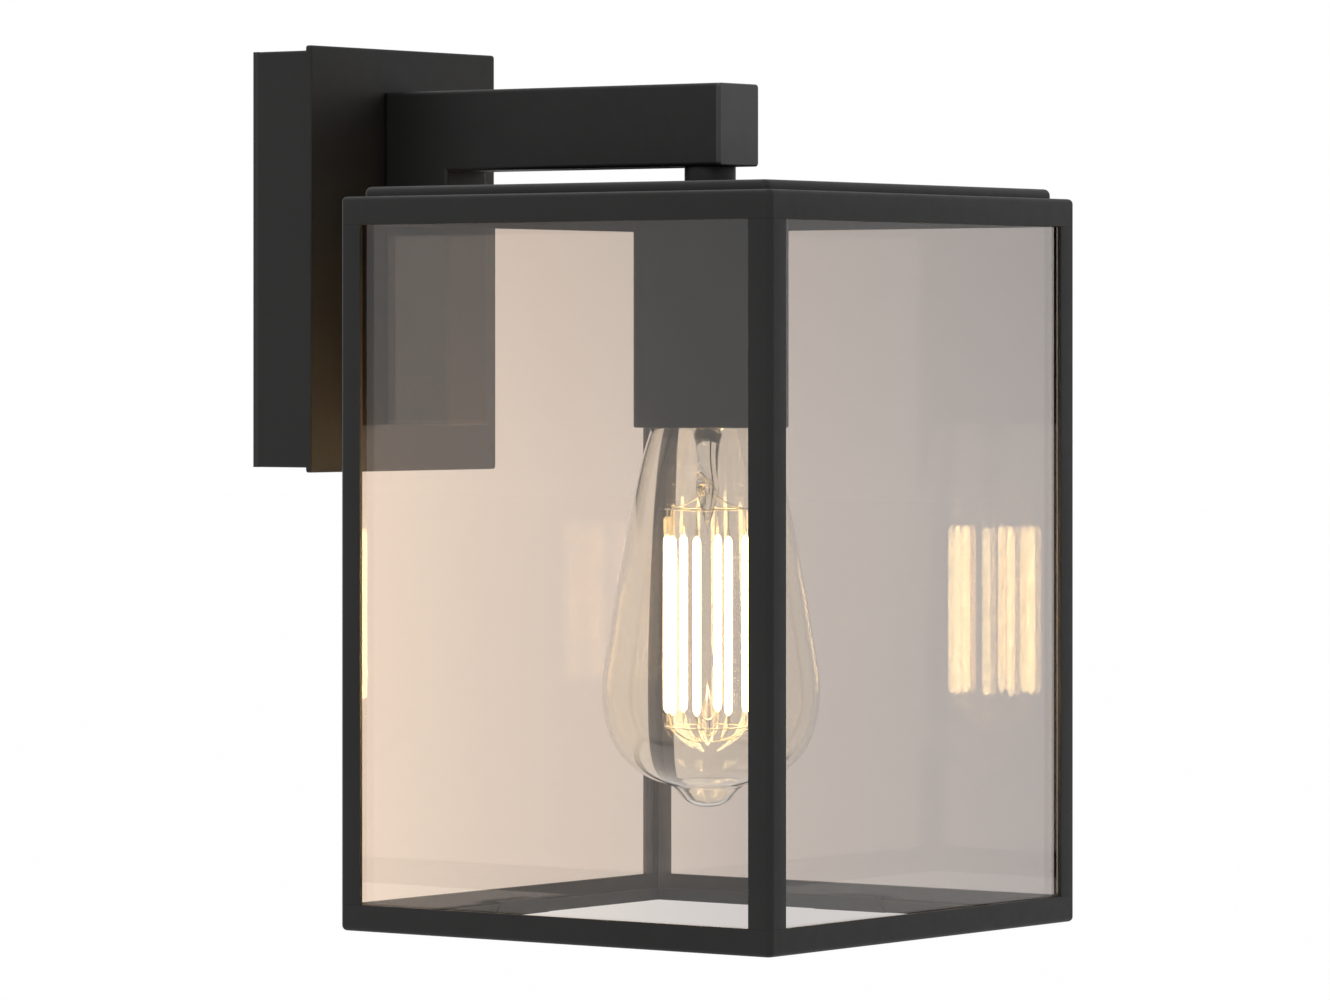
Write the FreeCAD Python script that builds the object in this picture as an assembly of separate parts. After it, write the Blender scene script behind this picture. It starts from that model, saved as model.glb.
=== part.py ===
"""Outdoor wall lantern: a glazed square cage hung from an L-shaped arm on a wall box.

Frame: origin at the centre of the wall face, +Z up, -Y away from the wall, X across.
All lengths are in millimetres.
"""
import FreeCAD, Part
import math
import os

V = FreeCAD.Vector
UP = V(0, 0, 1)
OUT = V(0, -1, 0)
WALLWARD = V(0, 1, 0)

# ---- driving dimensions -------------------------------------------------
GAP = 0.3                   # clearance between loose neighbours
SLIP = 0.1                  # radial clearance of a bolt in its hole

PLATE_W = 92.0              # front plate
PLATE_H = 132.0
PLATE_T = 2.0
PLATE_R = 1.0               # rounded corners
PLATE_EDGE_R = 0.7          # softened front edge
BOX_INSET = 1.5             # wall box lies inside the plate outline
BOX_SHEET = 1.0
BOX_REACH = 22.5            # wall to the back of the front plate
GASKET_T = 2.0
GASKET_W = 5.0

STRAP_W = 32.0              # wall strap
STRAP_T = 2.0
EAR_REACH = 14.0
SLOT_PITCH = 60.0
SLOT_W = 5.5
SLOT_L = 12.0
ENTRY_Z = 16.0              # supply cable entry
ENTRY_R = 4.0
GROMMET_R = 8.0
GROMMET_WALL = 2.5

TUBE_W = 20.0               # rectangular tube of arm and leg
TUBE_H = 25.0
TUBE_T = 1.5
TUBE_R = 1.2
ARM_Z = 40.0                # arm centre line above the plate centre
ARM_PAST = 11.0             # arm end beyond the lantern axis
LEG_LOW = -51.5             # lower end of the leg
CAP_T = 1.5                 # end caps
CAP_PLUG = 2.0
PORT_R = 5.0                # wire port from the box into the arm
PORT_RISE = 5.0             # above the arm centre line
PORT_WALL = 1.0
ARM_SCREW_Z = (-42.0, 14.0)
ARM_SCREW_R = 2.5
HEAD_R = 4.4
HEAD_T = 3.0
NUT_R = 4.6
NUT_T = 4.0

LEG_GAP = 14.0              # leg to cage
CAGE_W = 160.0              # square plan of the cage
CAGE_LOW = -203.0
CAGE_TOP = 18.0
CAGE_R = 1.4                # rounded upright corners
FLANGE = 8.0                # angle leg of posts and rails
TOP_FLANGE = 8.5            # face height of the top rails
SHEET = 1.5
EDGE_R = 1.0
LIP_H = 3.75                # inner lip of the bottom channel
LIP_T = 1.2
FLOOR_T = 1.2

PANE_T = 3.0
PANE_CHAMFER = 0.3
CLIP_TOP = 20.0
CLIP_LOW = 27.0
CLIP_T = 0.8

ROOF_INSET = 5.0
ROOF_H = 3.0
ROOF_SHEET = 1.2
ROOF_R = 2.4                # rounded corners
ROOF_EDGE_R = 2.0           # rounded upper rim
SPIGOT_R = 7.8

NIPPLE_R = 5.0
NIPPLE_BORE = 3.9
NIPPLE_UP = 1.0             # stands this far above the arm floor
NIPPLE_LOW = 4.0
LOCKNUT_FLAT = 14.0
LOCKNUT_T = 3.0
WASHER_R = 7.0
WASHER_T = 1.0

SLEEVE_R = 22.5
SLEEVE_T = 1.2
SLEEVE_LOW = -51.7

HOLDER_R = 19.0
HOLDER_WALL = 2.5
HOLDER_FLOOR_Z = -13.5
HOLDER_FLOOR_T = 5.0
HOLDER_CAP_TOP = 11.0
HOLDER_CAP_WALL = 2.0
SHELL_T = 0.5
CONTACT_W = 8.0
CONTACT_T = 0.5

CAP_R = 13.2                # bulb screw cap
CAP_WALL = 0.5
CAP_BASE_Z = -43.0
CAP_H = 21.5
THREAD_PITCH = 3.62
THREAD_DEPTH = 0.8
THREAD_TURNS = 4
CONTACT_TIP = 26.5          # cap base to contact tip
CONTACT_R = 4.6
BULB_WALL = 0.8
BULB_R = 32.0
BULB_TIP_Z = -166.8
# envelope: height below the cap base, radius as a share of the full radius
ENVELOPE = ((0.0, 0.406), (8.6, 0.535), (24.0, 0.665), (45.6, 0.79), (61.2, 0.88), (73.5, 0.942),
            (81.7, 0.984), (89.9, 1.0), (98.0, 0.969), (106.3, 0.865), (112.0, 0.70),
            (116.0, 0.48), (117.4, 0.325))

STEM_LOW = -70.0
ROD_R = 1.3
STICKS = 8
STICK_R = 0.9
STICK_RING = 13.0
STICK_HIGH = -82.0
STICK_LOW = -141.0
STAR_HIGH = -76.5
STAR_LOW = -142.5
STAR_HUB = -148.5
LEAD_R = 0.4                # ring wires in the bulb
SPOKE_R = 0.28

WIRE_R = 1.1
WIRE_IN_BLOCK = 5.5         # wire end inside the connector
HOLDER_WIRE_X = 7.0         # wire entries either side of the axis
WIRE_PITCH = 3.2
TERMINAL_W = 30.0
TERMINAL_H = 17.0
TERMINAL_D = 11.0
TERMINAL_Z = -12.0
TERMINAL_BORE_R = 1.8
TERMINAL_BORE = 6.0         # depth of a wire bore
TOWER_W = 7.0               # screw towers of the connector
TOWER_H = 3.0
CLAMP_PITCH = 10.0          # between the two clamp screws of one way
SCREW_R = 1.5
EARTH_R = 2.0               # earth screw and the box side screws

AXIS_Y = -(BOX_REACH + PLATE_T + TUBE_H + LEG_GAP + CAGE_W / 2)     # lantern axis

os.makedirs("parts", exist_ok=True)


def save(name, shape):
    """Write one sub-part."""
    shape.exportStep("parts/" + name + ".step")


def block(x0, x1, y0, y1, z0, z1):
    """A box given by its six faces."""
    return Part.makeBox(x1 - x0, y1 - y0, z1 - z0, V(x0, y0, z0))


def rod(r, start, end):
    """A round bar between two points."""
    way = end - start
    return Part.makeCylinder(r, way.Length, start, way)


def upright(r, z0, z1, y=AXIS_Y):
    """A vertical round bar on the lantern axis."""
    return Part.makeCylinder(r, z1 - z0, V(0, y, z0))


def ring(r_out, r_in, z0, z1, y=AXIS_Y):
    """A vertical tube on the lantern axis."""
    return upright(r_out, z0, z1, y).cut(upright(r_in, z0 - 1, z1 + 1, y))


def outline(points):
    """A closed flat face through corner points."""
    return Part.Face(Part.makePolygon(points + [points[0]]))


def turned(edges):
    """A solid of revolution about the lantern axis from edges drawn at radius X."""
    face = Part.Face(Part.Wire(edges))
    return face.revolve(V(0, AXIS_Y, 0), UP, 360)


def turned_polygon(profile):
    """A solid of revolution from (radius, height) corners."""
    return outline([V(r, AXIS_Y, z) for r, z in profile]).revolve(V(0, AXIS_Y, 0), UP, 360)


def edges_along(shape, axis, chosen):
    """The straight edges parallel to an axis whose middle satisfies a test."""
    found = []
    for edge in shape.Edges:
        if len(edge.Vertexes) != 2:
            continue
        way = edge.Vertexes[1].Point - edge.Vertexes[0].Point
        if way.Length < 1e-6 or abs(way.normalize().dot(axis)) < 0.999:
            continue
        if chosen(edge.CenterOfMass):
            found.append(edge)
    return found


def hexagon(flat, z0, z1, y=AXIS_Y):
    """A hexagonal prism on a vertical axis."""
    r = flat / math.sqrt(3.0)
    corners = [V(r * math.cos(math.radians(60 * k)), y + r * math.sin(math.radians(60 * k)), z0)
               for k in range(6)]
    return outline(corners).extrude(V(0, 0, z1 - z0))


def pan_screw(root, way, head_r, head_t, shank_r, length):
    """A pan-head screw whose head stands back from root, shank along way."""
    head = Part.makeCylinder(head_r, head_t, root - way * head_t, way)
    rim = [e for e in head.Edges if abs((e.CenterOfMass - root).dot(way) + head_t) < 1e-4
           and len(e.Vertexes) == 1]
    head = head.makeFillet(min(0.8, 0.45 * head_t), rim)
    slot_w = head_r * 0.28
    across = way.cross(V(1, 0, 0))
    if across.Length < 0.5:
        across = way.cross(V(0, 0, 1))
    slot = Part.makeBox(2.4 * head_r, slot_w, 0.4 * head_t)
    slot.translate(V(-1.2 * head_r, -slot_w / 2, 0))
    slot.Placement = FreeCAD.Placement(root - way * head_t, FreeCAD.Rotation(UP, way)).multiply(
        slot.Placement)
    shank = Part.makeCylinder(shank_r, length, root, way)
    return head.cut(slot).fuse(shank).removeSplitter()


def around(shape, k):
    """The shape turned by k quarter turns about the lantern axis."""
    copy = shape.copy()
    copy.rotate(V(0, AXIS_Y, 0), UP, 90 * k)
    return copy


def wire_path(points, radii):
    """Straight runs joined by tangent arcs."""
    edges = []
    start = points[0]
    for k in range(1, len(points) - 1):
        corner = points[k]
        back = (points[k - 1] - corner).normalize()
        on = (points[k + 1] - corner).normalize()
        half = 0.5 * back.getAngle(on)
        reach = radii[k - 1] / math.tan(half)
        first = corner + back * reach
        last = corner + on * reach
        centre = corner + (back + on).normalize() * (radii[k - 1] / math.sin(half))
        middle = centre + (corner - centre).normalize() * radii[k - 1]
        edges.append(Part.LineSegment(start, first).toShape())
        edges.append(Part.Arc(first, middle, last).toShape())
        start = last
    edges.append(Part.LineSegment(start, points[-1]).toShape())
    return Part.Wire(edges)


def bent_rod(r, points, radii):
    """A round wire along straight runs and tangent arcs."""
    path = wire_path(points, radii)
    way = (points[1] - points[0]).normalize()
    section = Part.Wire(Part.makeCircle(r, points[0], way))
    return path.makePipeShell([section], True, False)


# ---- derived places -----------------------------------------------------
PLATE_BACK = -BOX_REACH
PLATE_FRONT = PLATE_BACK - PLATE_T
BOX_W = PLATE_W - 2 * BOX_INSET
BOX_H = PLATE_H - 2 * BOX_INSET
BOX_INNER = PLATE_BACK + BOX_SHEET
TUBE_BACK = PLATE_FRONT
LEG_FRONT = TUBE_BACK - TUBE_H
ARM_LOW = ARM_Z - TUBE_H / 2
ARM_TOP = ARM_Z + TUBE_H / 2
ARM_END = AXIS_Y - ARM_PAST
HALF = CAGE_W / 2
ROOF_TOP = CAGE_TOP + ROOF_H
PORT_Z = ARM_Z + PORT_RISE
ROOF_UNDER = ROOF_TOP - ROOF_SHEET
PANE_OUT = SHEET + GAP
PANE_IN = PANE_OUT + PANE_T
PANE_LOW = CAGE_LOW + FLOOR_T
PANE_TOP = CAGE_TOP - SHEET - GAP
NIPPLE_TOP = ARM_LOW + TUBE_T + WASHER_T + LOCKNUT_T + NIPPLE_UP
SLEEVE_CEIL = ROOF_UNDER - SLEEVE_T
CAP_TOP_Z = CAP_BASE_Z + CAP_H
TIP_Z = CAP_BASE_Z + CONTACT_TIP
SHELL_R = CAP_R + GAP + SHELL_T
HOLDER_BORE = HOLDER_R - HOLDER_WALL
HOLDER_LOW = CAP_BASE_Z - 2.0
TERMINAL_BACK = BOX_INNER + TERMINAL_D
WIRE_LEVEL = BOX_INNER + 4.0


# ---- wall side ----------------------------------------------------------
def wall_gasket():
    outer = block(-BOX_W / 2, BOX_W / 2, -GASKET_T, 0, -BOX_H / 2, BOX_H / 2)
    inner = block(-BOX_W / 2 + GASKET_W, BOX_W / 2 - GASKET_W, -GASKET_T - 1, 1,
                  -BOX_H / 2 + GASKET_W, BOX_H / 2 - GASKET_W)
    return outer.cut(inner)


def strap_top():
    """Height of the strap ears, just inside the box walls."""
    return BOX_H / 2 - BOX_SHEET - GAP


def strap_foot():
    """Half height of the strap where it lies on the wall, clear of the gasket."""
    return BOX_H / 2 - GASKET_W - GAP


def wall_strap():
    """Flat strap with two slots, stepped over the gasket to an ear at each end."""
    top = strap_top()
    foot = strap_foot()
    step = GASKET_T + GAP
    body = block(-STRAP_W / 2, STRAP_W / 2, -STRAP_T, 0, -foot, foot)
    for side in (1, -1):
        z0, z1 = sorted((side * (foot - STRAP_T), side * foot))
        body = body.fuse(block(-STRAP_W / 2, STRAP_W / 2, -step - STRAP_T, 0, z0, z1))
        z0, z1 = sorted((side * (foot - STRAP_T), side * top))
        body = body.fuse(block(-STRAP_W / 2, STRAP_W / 2, -step - STRAP_T, -step, z0, z1))
        z0, z1 = sorted((side * (top - STRAP_T), side * top))
        body = body.fuse(block(-STRAP_W / 2, STRAP_W / 2, -step - EAR_REACH, -step, z0, z1))
        body = body.cut(rod(EARTH_R, V(0, side_screw_y(), side * (top - 5)),
                            V(0, side_screw_y(), side * (top + 5))))
        slot_z = side * SLOT_PITCH / 2
        straight = (SLOT_L - SLOT_W) / 2
        body = body.cut(block(-SLOT_W / 2, SLOT_W / 2, -5, 5, slot_z - straight, slot_z + straight))
        for end in (straight, -straight):
            body = body.cut(rod(SLOT_W / 2, V(0, -5, slot_z + end), V(0, 5, slot_z + end)))
    body = body.cut(rod(GROMMET_R - GROMMET_WALL / 2, V(0, -5, ENTRY_Z), V(0, 5, ENTRY_Z)))
    body = body.cut(rod(EARTH_R, V(0, -5, earth_z()), V(0, 5, earth_z())))
    return body.removeSplitter()


def earth_z():
    """The earth screw sits midway between the centre and the lower slot."""
    return -(SLOT_PITCH - SLOT_L) / 4


def side_screw_y():
    """The screws that hold the box cross the middle of the ears."""
    return -GASKET_T - GAP - EAR_REACH / 2 - STRAP_T / 2


def cable_grommet():
    """Rubber bush with a groove that grips the strap."""
    r_out = GROMMET_R
    groove = GROMMET_R - GROMMET_WALL / 2
    lip = 1.5
    body = rod(groove, V(0, 0, ENTRY_Z), V(0, -STRAP_T, ENTRY_Z))
    body = body.fuse(rod(r_out, V(0, -STRAP_T, ENTRY_Z), V(0, -STRAP_T - lip, ENTRY_Z)))
    body = body.fuse(rod(groove - 1.0, V(0, -STRAP_T - lip, ENTRY_Z),
                         V(0, -STRAP_T - 2 * lip, ENTRY_Z)))
    body = body.cut(rod(ENTRY_R, V(0, 1, ENTRY_Z), V(0, -20, ENTRY_Z)))
    return body.removeSplitter()


def back_box():
    """Shallow tray, open to the wall."""
    body = block(-BOX_W / 2, BOX_W / 2, PLATE_BACK, -GASKET_T, -BOX_H / 2, BOX_H / 2)
    inner = block(-BOX_W / 2 + BOX_SHEET, BOX_W / 2 - BOX_SHEET, BOX_INNER, 1,
                  -BOX_H / 2 + BOX_SHEET, BOX_H / 2 - BOX_SHEET)
    body = body.makeFillet(BOX_SHEET * 0.8, edges_along(body, WALLWARD, lambda p: True))
    body = body.cut(inner)
    for z in ARM_SCREW_Z:
        body = body.cut(rod(ARM_SCREW_R + SLIP, V(0, 0, z), V(0, -60, z)))
    body = body.cut(rod(PORT_R, V(0, 0, PORT_Z), V(0, -60, PORT_Z)))
    body = body.cut(rod(SCREW_R + SLIP, V(0, 0, TERMINAL_Z), V(0, -60, TERMINAL_Z)))
    return body.cut(rod(EARTH_R + SLIP, V(0, side_screw_y(), -BOX_H), V(0, side_screw_y(), BOX_H)))


def front_plate():
    body = block(-PLATE_W / 2, PLATE_W / 2, PLATE_FRONT, PLATE_BACK, -PLATE_H / 2, PLATE_H / 2)
    body = body.makeFillet(PLATE_R, edges_along(body, WALLWARD, lambda p: True))
    front = [e for e in body.Edges if abs(e.CenterOfMass.y - PLATE_FRONT) < 1e-6]
    body = body.makeFillet(PLATE_EDGE_R, front)
    for z in ARM_SCREW_Z:
        body = body.cut(rod(ARM_SCREW_R + SLIP, V(0, 0, z), V(0, -60, z)))
    body = body.cut(rod(PORT_R, V(0, 0, PORT_Z), V(0, -60, PORT_Z)))
    return body.cut(rod(SCREW_R + SLIP, V(0, 0, TERMINAL_Z), V(0, -60, TERMINAL_Z)))


def box_screws():
    """Two screws through the top and bottom of the box into the strap ears."""
    screws = []
    for side in (1, -1):
        root = V(0, side_screw_y(), side * BOX_H / 2)
        screws.append(pan_screw(root, V(0, 0, -side), 3.8, BOX_INSET - SLIP, EARTH_R,
                                BOX_SHEET + GAP + STRAP_T + 2.0))
    return Part.makeCompound(screws)


def earth_screw():
    root = V(0, -STRAP_T, earth_z())
    return pan_screw(root, WALLWARD, 4.0, 2.5, EARTH_R, STRAP_T)


def terminal_x():
    """Places of the three ways of the terminal block."""
    return [k * TERMINAL_W / 3 for k in (-1, 0, 1)]


def terminal_block():
    """Three-way connector block with wire bores and screw towers."""
    z0 = TERMINAL_Z - TERMINAL_H / 2
    z1 = TERMINAL_Z + TERMINAL_H / 2
    shelf = TERMINAL_BACK - TOWER_H
    body = block(-TERMINAL_W / 2, TERMINAL_W / 2, BOX_INNER, shelf, z0, z1)
    for x in terminal_x():
        if x != 0:
            body = body.fuse(block(x - TOWER_W / 2, x + TOWER_W / 2, shelf, TERMINAL_BACK, z0, z1))
    for x in terminal_x():
        for end, way in ((z1, 1), (z0, -1)):
            body = body.cut(rod(TERMINAL_BORE_R, V(x, WIRE_LEVEL, end + way),
                                V(x, WIRE_LEVEL, end - way * TERMINAL_BORE)))
        for z in terminal_screw_z():
            if x != 0:
                body = body.cut(rod(SCREW_R, V(x, TERMINAL_BACK + 1, z), V(x, WIRE_LEVEL + 2, z)))
    body = body.cut(rod(SCREW_R + SLIP, V(0, 10, TERMINAL_Z), V(0, -60, TERMINAL_Z)))
    return body.removeSplitter()


def terminal_screw_z():
    return (TERMINAL_Z - CLAMP_PITCH / 2, TERMINAL_Z + CLAMP_PITCH / 2)


def terminal_screws():
    """The clamp screws, sunk in their towers."""
    screws = []
    for x in terminal_x():
        if x == 0:
            continue
        for z in terminal_screw_z():
            screw = rod(SCREW_R, V(x, TERMINAL_BACK - 0.8, z), V(x, WIRE_LEVEL + 2, z))
            slot = block(x - 2, x + 2, TERMINAL_BACK - 1.4, TERMINAL_BACK, z - 0.25, z + 0.25)
            screws.append(screw.cut(slot))
    return Part.makeCompound(screws)


def terminal_fixing_screw():
    root = V(0, TERMINAL_BACK - TOWER_H, TERMINAL_Z)
    length = root.y - PLATE_FRONT - 2 * SLIP
    return pan_screw(root, OUT, 2.8, 1.8, SCREW_R, length)


# ---- arm and leg --------------------------------------------------------
def tube_section(centre, across, up):
    """Rounded rectangular ring, drawn at a point in the plane of two directions."""
    loops = []
    for inset, r in ((0.0, TUBE_R), (TUBE_T, max(TUBE_R - TUBE_T, 0.3))):
        a = TUBE_W / 2 - inset
        b = TUBE_H / 2 - inset
        edges = []
        for sx, sz in ((1, 1), (-1, 1), (-1, -1), (1, -1)):
            one = centre + across * (sx * a) + up * (sz * (b - r))
            two = centre + across * (sx * (a - r)) + up * (sz * b)
            mid = centre + across * (sx * (a - r * (1 - math.sqrt(0.5)))) + up * (
                sz * (b - r * (1 - math.sqrt(0.5))))
            if sx * sz < 0:
                one, two = two, one
            edges.append(Part.Arc(one, mid, two).toShape())
        joined = []
        for k in range(4):
            joined.append(edges[k])
            end = edges[k].Vertexes[-1].Point
            start = edges[(k + 1) % 4].Vertexes[0].Point
            joined.append(Part.LineSegment(end, start).toShape())
        loops.append(Part.Wire(joined))
    return Part.Face(loops[0]).cut(Part.Face(loops[1]))


def mitre_keep(above):
    """The half space on one side of the mitre plane between arm and leg."""
    reach = 400.0
    y0 = LEG_FRONT
    z0 = ARM_LOW
    down = [V(-50, y0 - reach, z0 - reach), V(-50, y0 + reach, z0 + reach)]
    if above:
        down.append(V(-50, y0 - reach, z0 + reach))
    else:
        down.append(V(-50, y0 + reach, z0 - reach))
    return outline(down).extrude(V(100, 0, 0))


def arm_tube():
    """Horizontal tube, mitred onto the leg."""
    section = tube_section(V(0, TUBE_BACK, ARM_Z), V(1, 0, 0), UP)
    length = TUBE_BACK - ARM_END - CAP_T
    body = section.extrude(OUT * length).common(mitre_keep(True))
    return body.cut(upright(NIPPLE_R + SLIP, ARM_LOW - 1, ARM_LOW + TUBE_T + 1))


def leg_tube():
    """Upright tube against the plate, its back open to the wire port."""
    middle = TUBE_BACK - TUBE_H / 2
    section = tube_section(V(0, middle, LEG_LOW + CAP_T), V(1, 0, 0), V(0, -1, 0))
    body = section.extrude(UP * (ARM_TOP - LEG_LOW - CAP_T)).common(mitre_keep(False))
    for z in ARM_SCREW_Z:
        body = body.cut(rod(ARM_SCREW_R + SLIP, V(0, 0, z), V(0, TUBE_BACK - TUBE_T - 1, z)))
    return body.cut(rod(PORT_R, V(0, 0, PORT_Z), V(0, TUBE_BACK - TUBE_T - 1, PORT_Z)))


def end_cap(origin, across, up, out):
    """Plastic plug with a flush rounded face."""
    a = TUBE_W / 2
    b = TUBE_H / 2
    face = outline([origin + across * (sx * a) + up * (sz * b)
                    for sx, sz in ((1, 1), (-1, 1), (-1, -1), (1, -1))])
    body = face.extrude(out * CAP_T)
    body = body.makeFillet(TUBE_R, edges_along(body, out, lambda p: True))
    rim = [e for e in body.Edges if abs((e.CenterOfMass - origin).dot(out) - CAP_T) < 0.01]
    body = body.makeFillet(0.5, rim)
    a -= TUBE_T + SLIP
    b -= TUBE_T + SLIP
    plug = outline([origin + across * (sx * a) + up * (sz * b)
                    for sx, sz in ((1, 1), (-1, 1), (-1, -1), (1, -1))])
    plug = plug.extrude(out * -CAP_PLUG)
    plug = plug.makeFillet(0.6, edges_along(plug, out, lambda p: True))
    hollow_a = a - TUBE_T
    hollow_b = b - TUBE_T
    hollow = outline([origin + across * (sx * hollow_a) + up * (sz * hollow_b) - out * CAP_PLUG
                      for sx, sz in ((1, 1), (-1, 1), (-1, -1), (1, -1))])
    return body.fuse(plug).cut(hollow.extrude(out * (CAP_PLUG - 1.0))).removeSplitter()


def arm_end_cap():
    return end_cap(V(0, ARM_END + CAP_T, ARM_Z), V(1, 0, 0), UP, OUT)


def leg_end_cap():
    middle = TUBE_BACK - TUBE_H / 2
    return end_cap(V(0, middle, LEG_LOW + CAP_T), V(1, 0, 0), V(0, 1, 0), V(0, 0, -1))


def arm_screws():
    length = BOX_SHEET + PLATE_T + TUBE_T + NUT_T + 1.0
    return Part.makeCompound([pan_screw(V(0, BOX_INNER, z), OUT, HEAD_R, HEAD_T, ARM_SCREW_R,
                                        length) for z in ARM_SCREW_Z])


def arm_nuts():
    """Captive nuts inside the leg."""
    nuts = []
    for z in ARM_SCREW_Z:
        start = V(0, TUBE_BACK - TUBE_T, z)
        nut = rod(NUT_R, start, start + OUT * NUT_T)
        nuts.append(nut.cut(rod(ARM_SCREW_R, start + WALLWARD, start + OUT * (NUT_T + 1))))
    return Part.makeCompound(nuts)


def arm_bush():
    """Insulating bush where the wires pass into the arm."""
    back = BOX_INNER
    end = TUBE_BACK - TUBE_T - 1.0
    body = rod(PORT_R - SLIP, V(0, back, PORT_Z), V(0, end, PORT_Z))
    body = body.fuse(rod(PORT_R + 1.5, V(0, back + 1.2, PORT_Z), V(0, back, PORT_Z)))
    return body.cut(rod(PORT_R - PORT_WALL, V(0, 0, PORT_Z), V(0, -60, PORT_Z))).removeSplitter()


# ---- cage ---------------------------------------------------------------
def cage_prism():
    """Upright prism with the cage's rounded corners."""
    body = block(-HALF, HALF, AXIS_Y - HALF, AXIS_Y + HALF, CAGE_LOW - 1, CAGE_TOP + 1)
    return body.makeFillet(CAGE_R, edges_along(body, UP, lambda p: True))


def mitre_wedge():
    """The quarter of the plan that belongs to the front side."""
    far = HALF + 5
    corners = [V(0, AXIS_Y, CAGE_LOW - 1), V(-far, AXIS_Y - far, CAGE_LOW - 1),
               V(far, AXIS_Y - far, CAGE_LOW - 1)]
    return outline(corners).extrude(V(0, 0, CAGE_TOP - CAGE_LOW + 2))


def front_rail(corners, rounded):
    """A rail along the front side: corners are (distance inward, height)."""
    front = AXIS_Y - HALF
    face = outline([V(-HALF, front + n, z) for n, z in corners])
    body = face.extrude(V(CAGE_W, 0, 0))
    body = body.makeFillet(EDGE_R, edges_along(body, V(1, 0, 0), rounded))
    return body.common(cage_prism()).common(mitre_wedge())


def bottom_rail():
    """Channel that takes the pane: tall outer flange, floor and low inner lip."""
    low = CAGE_LOW
    corners = ((0, low), (FLANGE, low), (FLANGE, low + LIP_H), (FLANGE - LIP_T, low + LIP_H),
               (FLANGE - LIP_T, low + FLOOR_T), (SHEET, low + FLOOR_T), (SHEET, low + FLANGE),
               (0, low + FLANGE))
    return front_rail(corners, lambda p: abs(p.z - low) < 0.01 and p.y < AXIS_Y - HALF + 0.01)


def top_rail():
    """Angle with a tall face and a flange under the roof."""
    top = CAGE_TOP
    corners = ((0, top), (0, top - TOP_FLANGE), (SHEET, top - TOP_FLANGE), (SHEET, top - SHEET),
               (FLANGE, top - SHEET), (FLANGE, top))
    return front_rail(corners, lambda p: abs(p.z - top) < 0.01 and p.y < AXIS_Y - HALF + 0.01)


def corner_post():
    """Angle post at the front left corner."""
    x0 = -HALF
    y0 = AXIS_Y - HALF
    corners = [V(x0, y0, 0), V(x0 + FLANGE, y0, 0), V(x0 + FLANGE, y0 + SHEET, 0),
               V(x0 + SHEET, y0 + SHEET, 0), V(x0 + SHEET, y0 + FLANGE, 0), V(x0, y0 + FLANGE, 0)]
    body = outline(corners).extrude(V(0, 0, CAGE_TOP - TOP_FLANGE - CAGE_LOW - FLANGE))
    body.translate(V(0, 0, CAGE_LOW + FLANGE))
    return body.common(cage_prism())


def pane(long_side):
    """Pane behind the front flanges; the long panes cover the ends of the short ones."""
    front = AXIS_Y - HALF
    half_w = HALF - PANE_OUT if long_side else HALF - PANE_IN - GAP
    body = block(-half_w, half_w, front + PANE_OUT, front + PANE_IN, PANE_LOW, PANE_TOP)
    return body.makeChamfer(PANE_CHAMFER, edges_along(body, UP, lambda p: True))


def glass_clip():
    """Spring clip over the inner lip: one leg bears on the pane, one shows inside."""
    front = AXIS_Y - HALF
    low = CAGE_LOW
    high = low + LIP_H + CLIP_T
    y_pane = front + PANE_IN
    y_lip = front + FLANGE
    leg = block(-CLIP_TOP / 2, CLIP_TOP / 2, y_pane, y_pane + CLIP_T, low + FLOOR_T, high)
    bridge = block(-CLIP_TOP / 2, CLIP_TOP / 2, y_pane, y_lip + CLIP_T, high - CLIP_T, high)
    tab = outline([V(-CLIP_TOP / 2, y_lip, high), V(CLIP_TOP / 2, y_lip, high),
                   V(CLIP_LOW / 2, y_lip, low), V(-CLIP_LOW / 2, y_lip, low)])
    tab = tab.extrude(V(0, CLIP_T, 0))
    return leg.fuse(bridge).fuse(tab).removeSplitter()


def roof_cap():
    """Pressed tray on the top flanges, with a rounded rim."""
    a = HALF - ROOF_INSET
    body = block(-a, a, AXIS_Y - a, AXIS_Y + a, CAGE_TOP, ROOF_TOP)
    body = body.makeFillet(ROOF_R, edges_along(body, UP, lambda p: True))
    rim = [e for e in body.Edges if abs(e.CenterOfMass.z - ROOF_TOP) < 0.01]
    body = body.makeFillet(ROOF_EDGE_R, rim)
    b = a - ROOF_SHEET
    body = body.cut(block(-b, b, AXIS_Y - b, AXIS_Y + b, CAGE_TOP - 1, ROOF_UNDER))
    return body.cut(upright(NIPPLE_R + SLIP, CAGE_TOP - 1, ROOF_TOP + 1))


# ---- suspension and lampholder ------------------------------------------
def nipple_nut(z0):
    return hexagon(LOCKNUT_FLAT, z0, z0 + LOCKNUT_T).cut(
        upright(NIPPLE_R, z0 - 1, z0 + LOCKNUT_T + 1))


def holder_sleeve():
    """Round cup round the lampholder, open below."""
    body = upright(SLEEVE_R, SLEEVE_LOW, ROOF_UNDER)
    body = body.cut(upright(SLEEVE_R - SLEEVE_T, SLEEVE_LOW - 1, SLEEVE_CEIL))
    return body.cut(upright(NIPPLE_R + SLIP, SLEEVE_CEIL - 1, ROOF_UNDER + 1))


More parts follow.
